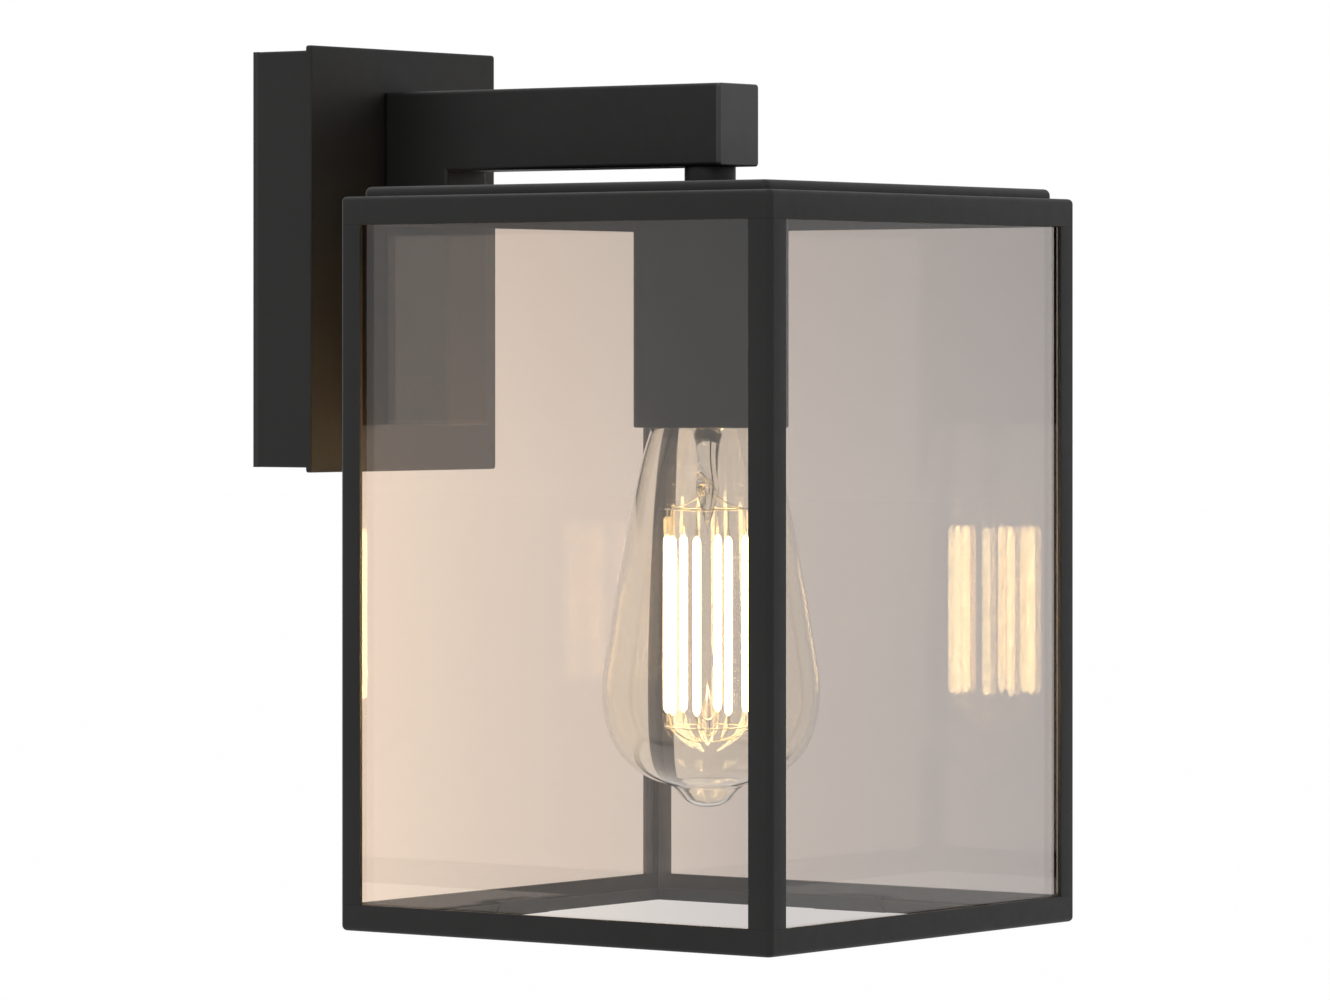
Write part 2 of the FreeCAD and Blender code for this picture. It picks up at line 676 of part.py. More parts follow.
def holder_cap():
    """Domed cap of the lampholder, screwed on the nipple."""
    low = HOLDER_FLOOR_Z + HOLDER_FLOOR_T
    wall = HOLDER_CAP_WALL
    top = HOLDER_CAP_TOP
    profile = ((NIPPLE_R, top), (NIPPLE_R + 3, top), (HOLDER_R - 2, top - 6), (HOLDER_R, top - 9),
               (HOLDER_R, low), (HOLDER_R - wall, low), (HOLDER_R - wall, top - 9),
               (NIPPLE_R + 3, top - 3), (NIPPLE_R + 3, top - 8), (NIPPLE_R, top - 8))
    return turned_polygon(profile)


def holder_body():
    """Insulating cup with a floor that carries the contacts."""
    floor = HOLDER_FLOOR_Z
    top = floor + HOLDER_FLOOR_T
    profile = ((HOLDER_R, HOLDER_LOW), (HOLDER_R, top), (2.0, top), (2.0, floor),
               (HOLDER_BORE, floor), (HOLDER_BORE, HOLDER_LOW))
    body = turned_polygon(profile)
    for x in holder_wire_x():
        body = body.cut(Part.makeCylinder(WIRE_R + SLIP, HOLDER_FLOOR_T + 2, V(x, AXIS_Y, floor - 1)))
    return body


def holder_wire_x():
    """The two wires enter the body either side of the axis."""
    return (-HOLDER_WIRE_X, HOLDER_WIRE_X)


def holder_shell():
    """Threaded metal shell with a flange on the body floor."""
    z0 = CAP_BASE_Z + 1.0
    z1 = HOLDER_FLOOR_Z
    profile = ((SHELL_R - SHELL_T, z0), (SHELL_R, z0), (SHELL_R, z1 - SHELL_T),
               (HOLDER_BORE - SLIP, z1 - SHELL_T), (HOLDER_BORE - SLIP, z1), (SHELL_R - 3, z1),
               (SHELL_R - 3, z1 - SHELL_T), (SHELL_R - SHELL_T, z1 - SHELL_T))
    return turned_polygon(profile)


def holder_contact():
    """Sprung centre contact, bent down from the floor to the bulb tip."""
    half = CONTACT_W / 2
    z_tip = TIP_Z + GAP
    z_top = HOLDER_FLOOR_Z
    arm = CONTACT_R + 2.0
    points = [(-arm, z_tip), (arm, z_tip), (arm, z_top), (arm - CONTACT_T, z_top),
              (arm - CONTACT_T, z_tip + CONTACT_T), (-arm, z_tip + CONTACT_T)]
    face = outline([V(x, AXIS_Y - half, z) for x, z in points])
    return face.extrude(V(0, CONTACT_W, 0))


# ---- bulb ---------------------------------------------------------------
def envelope_curve(wall):
    """Half outline of the glass from the neck to the dimple round the tip, offset by a wall."""
    points = []
    low = CAP_BASE_Z - ENVELOPE[-1][0]
    centre = CAP_BASE_Z - 0.7 * ENVELOPE[-1][0]
    for down, share in ENVELOPE:
        z = CAP_BASE_Z - down
        lower = max(0.0, (centre - z) / (centre - low))
        points.append(V(BULB_R * share - wall * (1 - 0.5 * lower ** 2), AXIS_Y,
                        z + wall * lower ** 2))
    curve = Part.BSplineCurve()
    curve.interpolate(points)
    return curve.toShape(), points


def tip_curve(start, wall):
    """The broad rounded tip, from the dimple to the axis."""
    bottom = BULB_TIP_Z + wall
    drop = start.z - bottom
    points = [start, V(start.x * 0.87, AXIS_Y, start.z - 0.2 * drop),
              V(start.x * 0.68, AXIS_Y, start.z - 0.6 * drop),
              V(start.x * 0.42, AXIS_Y, start.z - 0.9 * drop), V(0, AXIS_Y, bottom)]
    curve = Part.BSplineCurve()
    curve.interpolate(Points=points, InitialTangent=V(-0.2, 0, -1), FinalTangent=V(-1, 0, 0))
    return curve.toShape()


def bulb_glass():
    """Blown envelope with a sealed tip."""
    outer, outer_points = envelope_curve(0.0)
    inner, inner_points = envelope_curve(BULB_WALL)
    edges = [outer, tip_curve(outer_points[-1], 0.0),
             Part.LineSegment(V(0, AXIS_Y, BULB_TIP_Z), V(0, AXIS_Y, BULB_TIP_Z + BULB_WALL)).toShape(),
             tip_curve(inner_points[-1], BULB_WALL), inner,
             Part.LineSegment(inner_points[0], outer_points[0]).toShape()]
    return turned(Part.__sortEdges__(edges))


def bulb_cap():
    """Screw cap: thread ridges on a thin shell, necked to the insulator."""
    outer = [(CAP_R - 0.4, CAP_BASE_Z)]
    z = CAP_BASE_Z + 3.0
    outer.append((CAP_R - 0.4, z))
    for turn in range(THREAD_TURNS):
        outer.append((CAP_R, z + 0.35 * THREAD_PITCH))
        outer.append((CAP_R, z + 0.5 * THREAD_PITCH))
        outer.append((CAP_R - THREAD_DEPTH, z + 0.85 * THREAD_PITCH))
        outer.append((CAP_R - THREAD_DEPTH, z + THREAD_PITCH))
        z += THREAD_PITCH
    outer.append((CAP_R - 2.2, CAP_TOP_Z))
    inner = [(CAP_R - 2.2 - CAP_WALL, CAP_TOP_Z), (CAP_R - THREAD_DEPTH - CAP_WALL, z),
             (CAP_R - THREAD_DEPTH - CAP_WALL, CAP_BASE_Z)]
    return turned_polygon(outer + inner)


def bulb_insulator():
    """Black glass button between the shell and the contact."""
    r = CAP_R - 2.2
    profile = ((0, CAP_TOP_Z - 1.0), (r - CAP_WALL - 0.05, CAP_TOP_Z - 1.0),
               (r - CAP_WALL - 0.05, CAP_TOP_Z), (r - 1.0, CAP_TOP_Z + 0.6),
               (CONTACT_R, TIP_Z - 2.0), (0, TIP_Z - 2.0))
    return turned_polygon(profile)


def bulb_contact():
    """Soldered centre contact."""
    return turned_polygon(((0, TIP_Z - 2.0), (CONTACT_R, TIP_Z - 2.0), (CONTACT_R, TIP_Z - 1.2),
                           (CONTACT_R - 1.4, TIP_Z), (0, TIP_Z)))


def bulb_stem():
    """Glass flare, press and the rod that carries the lower wires."""
    top = CAP_BASE_Z - 1.0
    neck = BULB_R * ENVELOPE[0][1] - BULB_WALL
    profile = ((neck, top), (neck - 0.9, top), (3.2, top - 12), (2.2, STEM_LOW + 5), (0, STEM_LOW + 5),
               (0, STEM_LOW + 4), (3.2, STEM_LOW + 4), (4.2, top - 13), (neck, top - 1.2))
    flare = turned_polygon(profile)
    press = block(-4.0, 4.0, AXIS_Y - 1.6, AXIS_Y + 1.6, STEM_LOW - 2, STEM_LOW + 4.5)
    return flare.fuse(press).fuse(upright(ROD_R, STAR_HUB, STEM_LOW)).removeSplitter()


def stick_angle(k):
    """Sticks stand a little unevenly round the ring."""
    return math.radians(360.0 * (k + 0.5) / STICKS + 5.0 * math.sin(2.4 * k))


def led_filaments():
    """Upright light sticks in a ring."""
    sticks = []
    for k in range(STICKS):
        x = STICK_RING * math.cos(stick_angle(k))
        y = AXIS_Y + STICK_RING * math.sin(stick_angle(k))
        sticks.append(Part.makeCylinder(STICK_R, STICK_HIGH - STICK_LOW, V(x, y, STICK_LOW)))
    return Part.makeCompound(sticks)


def bulb_wires(z_ring, z_end, z_hub, hub_r):
    """Ring wire, a short lead to each stick and spokes to the middle, as one piece."""
    body = Part.makeTorus(STICK_RING, LEAD_R, V(0, AXIS_Y, z_ring))
    for k in range(STICKS):
        way = V(math.cos(stick_angle(k)), math.sin(stick_angle(k)), 0)
        on_ring = V(0, AXIS_Y, z_ring) + way * STICK_RING
        body = body.fuse(rod(SPOKE_R, on_ring, V(on_ring.x, on_ring.y, z_end)))
        if k % 2 == 0:
            body = body.fuse(rod(SPOKE_R, on_ring, V(0, AXIS_Y, z_hub) + way * hub_r))
    return body


# ---- wires --------------------------------------------------------------
def fixture_wire(side):
    """Wire from the terminal block, through the arm and nipple, to the lampholder."""
    x = side * TERMINAL_W / 3
    lane = side * 1.6
    z_start = TERMINAL_Z + TERMINAL_H / 2 - WIRE_IN_BLOCK
    z_hold = HOLDER_FLOOR_Z + 1.0
    x_hold = side * HOLDER_WIRE_X
    points = [V(x, WIRE_LEVEL, z_start), V(x, WIRE_LEVEL, 12.0), V(lane, WIRE_LEVEL + 2.0, 26.0),
              V(lane, WIRE_LEVEL + 2.0, PORT_Z), V(lane, AXIS_Y, PORT_Z), V(lane, AXIS_Y, 3.0),
              V(x_hold, AXIS_Y, -3.5), V(x_hold, AXIS_Y, z_hold)]
    return bent_rod(WIRE_R, points, [9.0, 9.0, 5.0, 10.0, 4.0, 4.0])


def earth_wire():
    """Wire from the terminal block to the earth screw on the strap."""
    z_start = TERMINAL_Z - TERMINAL_H / 2 + WIRE_IN_BLOCK
    z_turn = TERMINAL_Z - TERMINAL_H / 2 - 8.0
    side_x = 13.0
    y_screw = -STRAP_T - WIRE_R
    points = [V(0, WIRE_LEVEL, z_start), V(0, WIRE_LEVEL, z_turn), V(side_x, y_screw - 4.0, z_turn),
              V(side_x, y_screw, earth_z()), V(4.0 + WIRE_R / 2, y_screw, earth_z())]
    return bent_rod(WIRE_R, points, [4.0, 3.5, 3.0])


# ---- write --------------------------------------------------------------
SIDES = ("front", "right", "back", "left")
CORNERS = ("front_left", "front_right", "back_right", "back_left")

save("wall_gasket", wall_gasket())
save("wall_strap", wall_strap())
save("cable_grommet", cable_grommet())
save("back_box", back_box())
save("front_plate", front_plate())
save("box_screws", box_screws())
save("earth_screw", earth_screw())
save("terminal_block", terminal_block())
save("terminal_screws", terminal_screws())
save("terminal_fixing_screw", terminal_fixing_screw())
save("arm_tube", arm_tube())
save("leg_tube", leg_tube())
save("arm_end_cap", arm_end_cap())
save("leg_end_cap", leg_end_cap())
save("arm_screws", arm_screws())
save("arm_nuts", arm_nuts())
save("arm_bush", arm_bush())

for k in range(4):
    save("bottom_rail_" + SIDES[k], around(bottom_rail(), k))
    save("top_rail_" + SIDES[k], around(top_rail(), k))
    save("corner_post_" + CORNERS[k], around(corner_post(), k))
    save("pane_" + SIDES[k], around(pane(k % 2 == 0), k))
    save("glass_clip_" + SIDES[k], around(glass_clip(), k))

save("roof_cap", roof_cap())
save("spigot", ring(SPIGOT_R, NIPPLE_R + SLIP, ROOF_TOP, ARM_LOW))
save("nipple", ring(NIPPLE_R, NIPPLE_BORE, NIPPLE_LOW, NIPPLE_TOP))
save("arm_washer", ring(WASHER_R, NIPPLE_R + SLIP, ARM_LOW + TUBE_T, ARM_LOW + TUBE_T + WASHER_T))
save("arm_locknut", nipple_nut(ARM_LOW + TUBE_T + WASHER_T))
save("sleeve_locknut", nipple_nut(SLEEVE_CEIL - LOCKNUT_T))
save("holder_sleeve", holder_sleeve())
save("holder_cap", holder_cap())
save("holder_body", holder_body())
save("holder_shell", holder_shell())
save("holder_contact", holder_contact())

save("bulb_glass", bulb_glass())
save("bulb_cap", bulb_cap())
save("bulb_insulator", bulb_insulator())
save("bulb_contact", bulb_contact())
save("bulb_stem", bulb_stem())
save("led_filaments", led_filaments())
save("bulb_wires_upper", bulb_wires(STAR_HIGH, STICK_HIGH, STEM_LOW - 2.5, ROD_R))
save("bulb_wires_lower", bulb_wires(STAR_LOW, STICK_LOW, STAR_HUB + 1.0, ROD_R))

save("wire_live", fixture_wire(-1))
save("wire_neutral", fixture_wire(1))
save("wire_earth", earth_wire())
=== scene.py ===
"""Looks of a glazed square wall lantern on an L-shaped arm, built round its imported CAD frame."""

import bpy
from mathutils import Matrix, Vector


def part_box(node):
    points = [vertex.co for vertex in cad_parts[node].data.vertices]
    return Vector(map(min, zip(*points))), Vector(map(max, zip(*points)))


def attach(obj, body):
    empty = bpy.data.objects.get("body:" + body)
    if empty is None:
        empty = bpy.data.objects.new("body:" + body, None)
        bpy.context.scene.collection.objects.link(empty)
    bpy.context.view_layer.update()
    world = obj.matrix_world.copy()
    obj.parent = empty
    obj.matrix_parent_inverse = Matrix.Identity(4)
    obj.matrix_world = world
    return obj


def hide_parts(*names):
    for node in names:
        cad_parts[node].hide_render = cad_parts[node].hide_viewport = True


bl_info = {
    "name": "Glazed wall lantern",
    "version": (1, 0, 0),
    "blender": (4, 5, 0),
    "location": "View3D > Sidebar > Lantern",
    "description": "Builds the coated cage, the glazing, the lit filament bulb and the studio round a wall lantern",
    "category": "Object",
}

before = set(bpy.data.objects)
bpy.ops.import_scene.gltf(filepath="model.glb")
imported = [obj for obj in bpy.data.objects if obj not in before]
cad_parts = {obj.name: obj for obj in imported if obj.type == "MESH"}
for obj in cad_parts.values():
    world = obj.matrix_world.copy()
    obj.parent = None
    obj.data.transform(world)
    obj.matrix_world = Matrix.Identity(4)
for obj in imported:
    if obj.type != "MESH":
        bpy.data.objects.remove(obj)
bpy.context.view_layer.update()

import math

import bmesh
import bpy
import numpy as np
from bpy.props import FloatProperty, FloatVectorProperty, IntProperty, PointerProperty
from bpy.types import Operator, Panel, PropertyGroup

MM = 0.001


# ---- places read from the frame -----------------------------------------
def low(node):
    """Lowest corner of a CAD node."""
    return np.array(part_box(node)[0])


def high(node):
    """Highest corner of a CAD node."""
    return np.array(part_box(node)[1])


def middle(node):
    """Centre of a CAD node's box."""
    return 0.5 * (low(node) + high(node))


AXIS = middle("spigot")[:2]
CAGE_HALF = 0.5 * (high("bottom_rail_front")[0] - low("bottom_rail_front")[0])
CAGE_HALF = max(CAGE_HALF, 0.5 * (high("bottom_rail_right")[0] - low("bottom_rail_left")[0]))
CAGE_LOW = low("bottom_rail_front")[2]
CAGE_TOP = high("top_rail_front")[2]
RAIL_TOP = high("bottom_rail_front")[2]
HEAD_LOW = low("top_rail_front")[2]
FLANGE = high("bottom_rail_front")[1] - low("bottom_rail_front")[1]
ROOF_HALF = 0.5 * (high("roof_cap")[0] - low("roof_cap")[0])
ROOF_TOP = high("roof_cap")[2]
BULB_LOW = low("bulb_glass")[2]
BULB_NECK = high("bulb_glass")[2]
BULB_R = 0.5 * (high("bulb_glass")[0] - low("bulb_glass")[0])
SCREW_LOW = low("bulb_cap")[2]
SCREW_TOP = high("bulb_cap")[2]
SCREW_R = 0.5 * (high("bulb_cap")[0] - low("bulb_cap")[0])
STICK_LOW = low("led_filaments")[2]
STICK_TOP = high("led_filaments")[2]
SLEEVE_R = 0.5 * (high("holder_sleeve")[0] - low("holder_sleeve")[0])
SLEEVE_LOW = low("holder_sleeve")[2]
SLEEVE_TOP = high("holder_sleeve")[2]
STEM_TOP = high("bulb_stem")[2]
STEM_LOW = low("bulb_stem")[2]


# ---- settings -----------------------------------------------------------
class LanternFinish(PropertyGroup):
    coat: FloatVectorProperty(name="Powder coat", description="Colour of the fine matt black coat",
                              default=(0.0055, 0.0052, 0.0050), subtype="COLOR", size=3, min=0, max=1)
    grain: FloatProperty(name="Coat grain", description="Size of one grain of the powder coat",
                         default=0.00045, min=0.0001, unit="LENGTH")
    # Painted light: this warm tint stands in for lamp light on the wall behind, seen through the glass.
    painted_wall_glow: FloatVectorProperty(name="Pane tint by the wall", description="Colour let through near the wall",
                                   default=(0.95, 0.84, 0.745), subtype="COLOR", size=3, min=0, max=1)
    # Partly the glass's own tint, partly painted shade of the room seen through the glass.
    pane_front: FloatVectorProperty(name="Pane tint in front", description="Colour let through at the front",
                                    default=(0.62, 0.585, 0.565), subtype="COLOR", size=3, min=0, max=1)
    bulb_tint: FloatVectorProperty(name="Bulb tint", description="Colour that one bulb wall lets through",
                                   default=(1.0, 0.985, 0.935), subtype="COLOR", size=3, min=0, max=1)
    brass: FloatVectorProperty(name="Brass", description="Colour of the contact brass",
                               default=(0.60, 0.42, 0.17), subtype="COLOR", size=3, min=0, max=1)
    nickel: FloatVectorProperty(name="Nickel", description="Colour of the plated screw cap",
                                default=(0.62, 0.60, 0.56), subtype="COLOR", size=3, min=0, max=1)
    glow: FloatVectorProperty(name="Glow", description="Colour of the lit phosphor",
                              default=(1.0, 0.80, 0.42), subtype="COLOR", size=3, min=0, max=1)
    glow_strength: FloatProperty(name="Glow strength", description="Brightness of the lit sticks",
                                 default=90.0, min=0)


class LanternShape(PropertyGroup):
    corner: FloatProperty(name="Corner land", description="Width of the narrow land along the upright corners",
                          default=1.5 * MM, min=0, unit="LENGTH")
    soften: FloatProperty(name="Land softening", description="How far the land's two edges are rounded off",
                          default=0.35 * MM, min=0, unit="LENGTH")
    edge: FloatProperty(name="Edge radius", description="Rounding of the cage's long outer edges",
                        default=1.5 * MM, min=0, unit="LENGTH")
    burr: FloatProperty(name="Inner edge radius", description="Small rounding of cut sheet edges",
                        default=0.25 * MM, min=0, unit="LENGTH")
    sheet: FloatProperty(name="Sheet", description="Thickness of the cage's sheet steel",
                         default=1.5 * MM, min=0, unit="LENGTH")
    lip: FloatProperty(name="Lip height", description="Height of the bottom channel's inner lip",
                       default=3.75 * MM, min=0, unit="LENGTH")
    lip_sheet: FloatProperty(name="Lip sheet", description="Thickness of the channel's floor and lip",
                             default=1.2 * MM, min=0, unit="LENGTH")
    pitch: FloatProperty(name="Thread pitch", description="Rise of the bulb thread in one turn",
                         default=3.62 * MM, min=0, unit="LENGTH")
    sticks: IntProperty(name="Light sticks", description="Number of light sticks in the bulb",
                        default=8, min=1)
    stick_radius: FloatProperty(name="Stick radius", description="Radius of one light stick",
                                default=1.25 * MM, min=0, unit="LENGTH")
    ring_radius: FloatProperty(name="Stick ring", description="Radius of the ring of sticks",
                               default=13.0 * MM, min=0, unit="LENGTH")


class LanternStage(PropertyGroup):
    floor_drop: FloatProperty(name="Floor drop", description="Floor below the wall plate's centre",
                              default=1.1, min=0, unit="LENGTH")
    camera: FloatVectorProperty(name="Camera", description="Place of the camera",
                                default=(-1.664863, -1.363231, -0.030984), subtype="XYZ", size=3)
    heading: FloatProperty(name="Heading", description="Turn of the view from straight at the wall",
                           default=math.radians(53.3916), subtype="ANGLE", unit="ROTATION")
    lens: FloatProperty(name="Lens", description="Focal length in millimetres", default=184.0, min=1)
    rise: FloatProperty(name="Lens shift", description="Upright shift of the lens",
                        default=-0.10582)
    daylight: FloatProperty(name="Daylight", description="Level of the even light from all round",
                            default=0.92, min=0)


# ---- surfaces -----------------------------------------------------------
def grid_faces(rows, columns, wrap_rows, wrap_columns):
    """Quads between neighbours of a rows by columns grid, as one index array."""
    i = np.arange(rows if wrap_rows else rows - 1)
    j = np.arange(columns if wrap_columns else columns - 1)
    i, j = np.meshgrid(i, j, indexing="ij")
    i2 = (i + 1) % rows
    j2 = (j + 1) % columns
    quads = np.stack([i * columns + j, i2 * columns + j, i2 * columns + j2, i * columns + j2], -1)
    return quads.reshape(-1, 4)


def piece(name, points, faces, body, slot, material, stands_for=(), smooth_angle=35.0):
    """A mesh object from arrays of points and faces, welded, closed, faced outwards and riding."""
    mesh = bpy.data.meshes.new(name)
    mesh.from_pydata(points.reshape(-1, 3).tolist(), [], faces.tolist())
    work = bmesh.new()
    work.from_mesh(mesh)
    bmesh.ops.remove_doubles(work, verts=work.verts, dist=2e-6)
    bmesh.ops.dissolve_degenerate(work, dist=1e-6, edges=work.edges)
    bmesh.ops.holes_fill(work, edges=[e for e in work.edges if e.is_boundary], sides=0)
    bmesh.ops.recalc_face_normals(work, faces=work.faces)
    work.to_mesh(mesh)
    work.free()
    mesh.shade_smooth()
    mesh.set_sharp_from_angle(angle=math.radians(smooth_angle))
    thing = bpy.data.objects.new(name, mesh)
    bpy.context.scene.collection.objects.link(thing)
    mesh.materials.append(material)
    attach(thing, body)
    if stands_for:
        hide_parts(*stands_for)
    return thing


def smooth_through(points, count):
    """A natural cubic spline through points, by chord length, sampled evenly in that length."""
    p = np.asarray(points, float)
    t = np.concatenate([[0], np.cumsum(np.linalg.norm(np.diff(p, axis=0), axis=1))])
    h = np.diff(t)
    n = len(t)
    system = np.eye(n)
    k = np.arange(1, n - 1)
    system[k, k - 1] = h[:-1]
    system[k, k] = 2 * (h[:-1] + h[1:])
    system[k, k + 1] = h[1:]
    slope = np.diff(p, axis=0) / h[:, None]
    right = np.zeros_like(p)
    right[1:-1] = 6 * np.diff(slope, axis=0)
    bend = np.linalg.solve(system, right)
    s = np.linspace(0, t[-1], count)
    k = np.clip(np.searchsorted(t, s, side="right") - 1, 0, n - 2)
    a = (t[k + 1] - s)[:, None]
    b = (s - t[k])[:, None]
    hk = h[k][:, None]
    return (bend[k] * a**3 + bend[k + 1] * b**3) / (6 * hk) + (
        p[k] / hk - bend[k] * hk / 6) * a + (p[k + 1] / hk - bend[k + 1] * hk / 6) * b


def rounded(corners, radii, steps=5):
    """A closed outline whose corners are arcs: each arc touches both sides at radius / tan(half angle)."""
    p = np.asarray(corners, float)
    r = np.broadcast_to(np.asarray(radii, float), (len(p),))[:, None]
    back = np.roll(p, 1, 0) - p
    on = np.roll(p, -1, 0) - p
    back /= np.linalg.norm(back, axis=1, keepdims=True)
    on /= np.linalg.norm(on, axis=1, keepdims=True)
    half = 0.5 * np.arccos(np.clip((back * on).sum(1, keepdims=True), -1, 1))
    inward = back + on
    inward /= np.linalg.norm(inward, axis=1, keepdims=True)
    centre = p + inward * r / np.sin(half)
    start = p + back * r / np.tan(half) - centre
    end = p + on * r / np.tan(half) - centre
    a0 = np.arctan2(start[:, 1], start[:, 0])
    sweep = (np.arctan2(end[:, 1], end[:, 0]) - a0 + np.pi) % (2 * np.pi) - np.pi
    angle = a0[:, None] + sweep[:, None] * np.linspace(0, 1, steps)
    arcs = centre[:, None] + r[:, None] * np.stack([np.cos(angle), np.sin(angle)], -1)
    return arcs.reshape(-1, 2)


def turned(profile, around=96, centre=AXIS):
    """Surface of revolution: radius and height carried round the upright axis."""
    turn = np.linspace(0, 2 * np.pi, around, endpoint=False)
    r = profile[:, 0][:, None]
    z = np.broadcast_to(profile[:, 1][:, None], (len(profile), around))
    points = np.stack([centre[0] + r * np.cos(turn), centre[1] + r * np.sin(turn), z], -1)
    return points, grid_faces(len(profile), around, False, True)


def square_ring(profile, half, corner, steps=7):
    """A profile of (distance inward, height) carried round a square with rounded corners.

    Each corner's centre lies half - max(corner, n) from the middle and its arc has radius
    max(corner - n, 0), so edges further in than the corner radius meet in a mitre.
    """
    quarter = np.linspace(0, np.pi / 2, steps)
    angle = (quarter[None] + np.arange(4)[:, None] * np.pi / 2).ravel()
    side = np.repeat(np.arange(4) * np.pi / 2 + np.pi / 4, steps)
    sign = np.stack([np.sign(np.cos(side)), np.sign(np.sin(side))], -1)
    n = profile[:, 0][:, None]
    reach = half - np.maximum(corner, n)
    arc = np.maximum(corner - n, 0)
    x = AXIS[0] + reach * sign[:, 0] + arc * np.cos(angle)
    y = AXIS[1] + reach * sign[:, 1] + arc * np.sin(angle)
    z = np.broadcast_to(profile[:, 1][:, None], x.shape)
    return np.stack([x, y, z], -1), grid_faces(len(profile), 4 * steps, True, True)


def land(width, soften, steps=5):
    """A corner cut off at 45 degrees, its two edges softened by quadratic curves.

    Rows of (along x, along y) from the sharp corner, inward: the cut runs from (w, 0) to (0, w),
    and each end is a curve that starts soften before the edge and ends soften after it.
    """
    w = np.asarray(width, float)[..., None]
    e = np.minimum(soften, w / 2)
    t = np.linspace(0, 1, steps)
    away = (1 - t) ** 2 * e
    cut = t**2 * e / math.sqrt(2)
    along = w + away - cut
    across = cut + 0 * away
    return np.concatenate([np.stack([along, across], -1), np.stack([across, along], -1)[..., ::-1, :]], -2)


def framed(profile, half, width, soften):
    """A profile of (distance inward, height) carried round a square with lands at its corners.

    Moved inward by n, the cut corner's width is w - (2 - sqrt 2) n, and nothing once that is used up.
    """
    n = profile[:, 0]
    corner = land(np.maximum(width - (2 - math.sqrt(2)) * n, 0), soften)
    x0 = half - n[:, None] - corner[..., 0]
    y0 = half - n[:, None] - corner[..., 1]
    x = AXIS[0] + np.concatenate([x0[:, ::-1], -x0, -x0[:, ::-1], x0], 1)
    y = AXIS[1] + np.concatenate([y0[:, ::-1], y0, -y0[:, ::-1], -y0], 1)
    z = np.broadcast_to(profile[:, 1][:, None], x.shape)
    return np.stack([x, y, z], -1), grid_faces(len(profile), x.shape[1], True, True)


def prism(outline, bottom, top):
    """A plan outline carried straight up between two heights."""
    z = np.array([bottom, top])
    points = np.concatenate([np.broadcast_to(outline[None], (2,) + outline.shape),
                             np.broadcast_to(z[:, None, None], (2, len(outline), 1))], -1)
    return points, grid_faces(2, len(outline), False, True)


def pipe(path, radius, around=10):
    """A round wire: a circle carried along a path in a frame that turns as little as it can."""
    p = np.asarray(path, float)
    way = np.gradient(p, axis=0)
    way /= np.linalg.norm(way, axis=1, keepdims=True)
    guide = np.eye(3)[np.argmin(np.abs(way).max(0))]
    side = np.cross(way, guide)
    side /= np.linalg.norm(side, axis=1, keepdims=True)
    other = np.cross(way, side)
    turn = np.linspace(0, 2 * np.pi, around, endpoint=False)
    r = np.broadcast_to(np.asarray(radius, float), (len(p),))[:, None, None]
    points = p[:, None] + r * (side[:, None] * np.cos(turn)[:, None] + other[:, None] * np.sin(turn)[:, None])
    return points, grid_faces(len(p), around, False, True)


def several(parts):
    """Joins (points, faces) pairs into one pair."""
    points = [p.reshape(-1, 3) for p, f in parts]
    starts = np.cumsum([0] + [len(p) for p in points[:-1]])
    return np.concatenate(points), np.concatenate([f + s for (p, f), s in zip(parts, starts)])


# ---- materials ----------------------------------------------------------
def nodes_of(name):
    """A new material with its node tree, its surface shader and its output."""
    material = bpy.data.materials.new(name)
    material.use_nodes = True
    tree = material.node_tree
    shader = tree.nodes["Principled BSDF"]
    return material, tree, shader, tree.nodes["Material Output"]


def noise(tree, scale, detail=4.0, rough=0.55, stretch=(1, 1, 1)):
    """Noise on Object coordinates, with its coordinates stretched along the axes."""
    where = tree.nodes.new("ShaderNodeTexCoord")
    mapping = tree.nodes.new("ShaderNodeMapping")
    mapping.inputs["Scale"].default_value = stretch
    texture = tree.nodes.new("ShaderNodeTexNoise")
    texture.inputs["Scale"].default_value = scale
    texture.inputs["Detail"].default_value = detail
    texture.inputs["Roughness"].default_value = rough
    tree.links.new(where.outputs["Object"], mapping.inputs["Vector"])
    tree.links.new(mapping.outputs["Vector"], texture.inputs["Vector"])
    return texture.outputs["Fac"]


def ramp(tree, value, stops):
    """A colour ramp over a value: stops are (position, colour)."""
    node = tree.nodes.new("ShaderNodeValToRGB")
    line = node.color_ramp.elements
    while len(line) < len(stops):
        line.new(0.5)
    for element, (position, colour) in zip(line, stops):
        element.position = position
        element.color = (*colour, 1.0)
    tree.links.new(value, node.inputs["Fac"])
    return node.outputs["Color"]


def span(tree, value, bottom, top):
    """Maps 0 to 1 onto a range."""
    node = tree.nodes.new("ShaderNodeMapRange")
    node.inputs["To Min"].default_value = bottom
    node.inputs["To Max"].default_value = top
    tree.links.new(value, node.inputs["Value"])
    return node.outputs["Result"]


def bumped(tree, shader, height, strength, depth):
    """Adds a height as bump on a shader."""
    node = tree.nodes.new("ShaderNodeBump")
    node.inputs["Strength"].default_value = strength
    node.inputs["Distance"].default_value = depth
    tree.links.new(height, node.inputs["Height"])
    tree.links.new(node.outputs["Normal"], shader.inputs["Normal"])


def shade(colour, factor):
    """A colour made lighter or darker."""
    return tuple(min(1.0, c * factor) for c in colour)


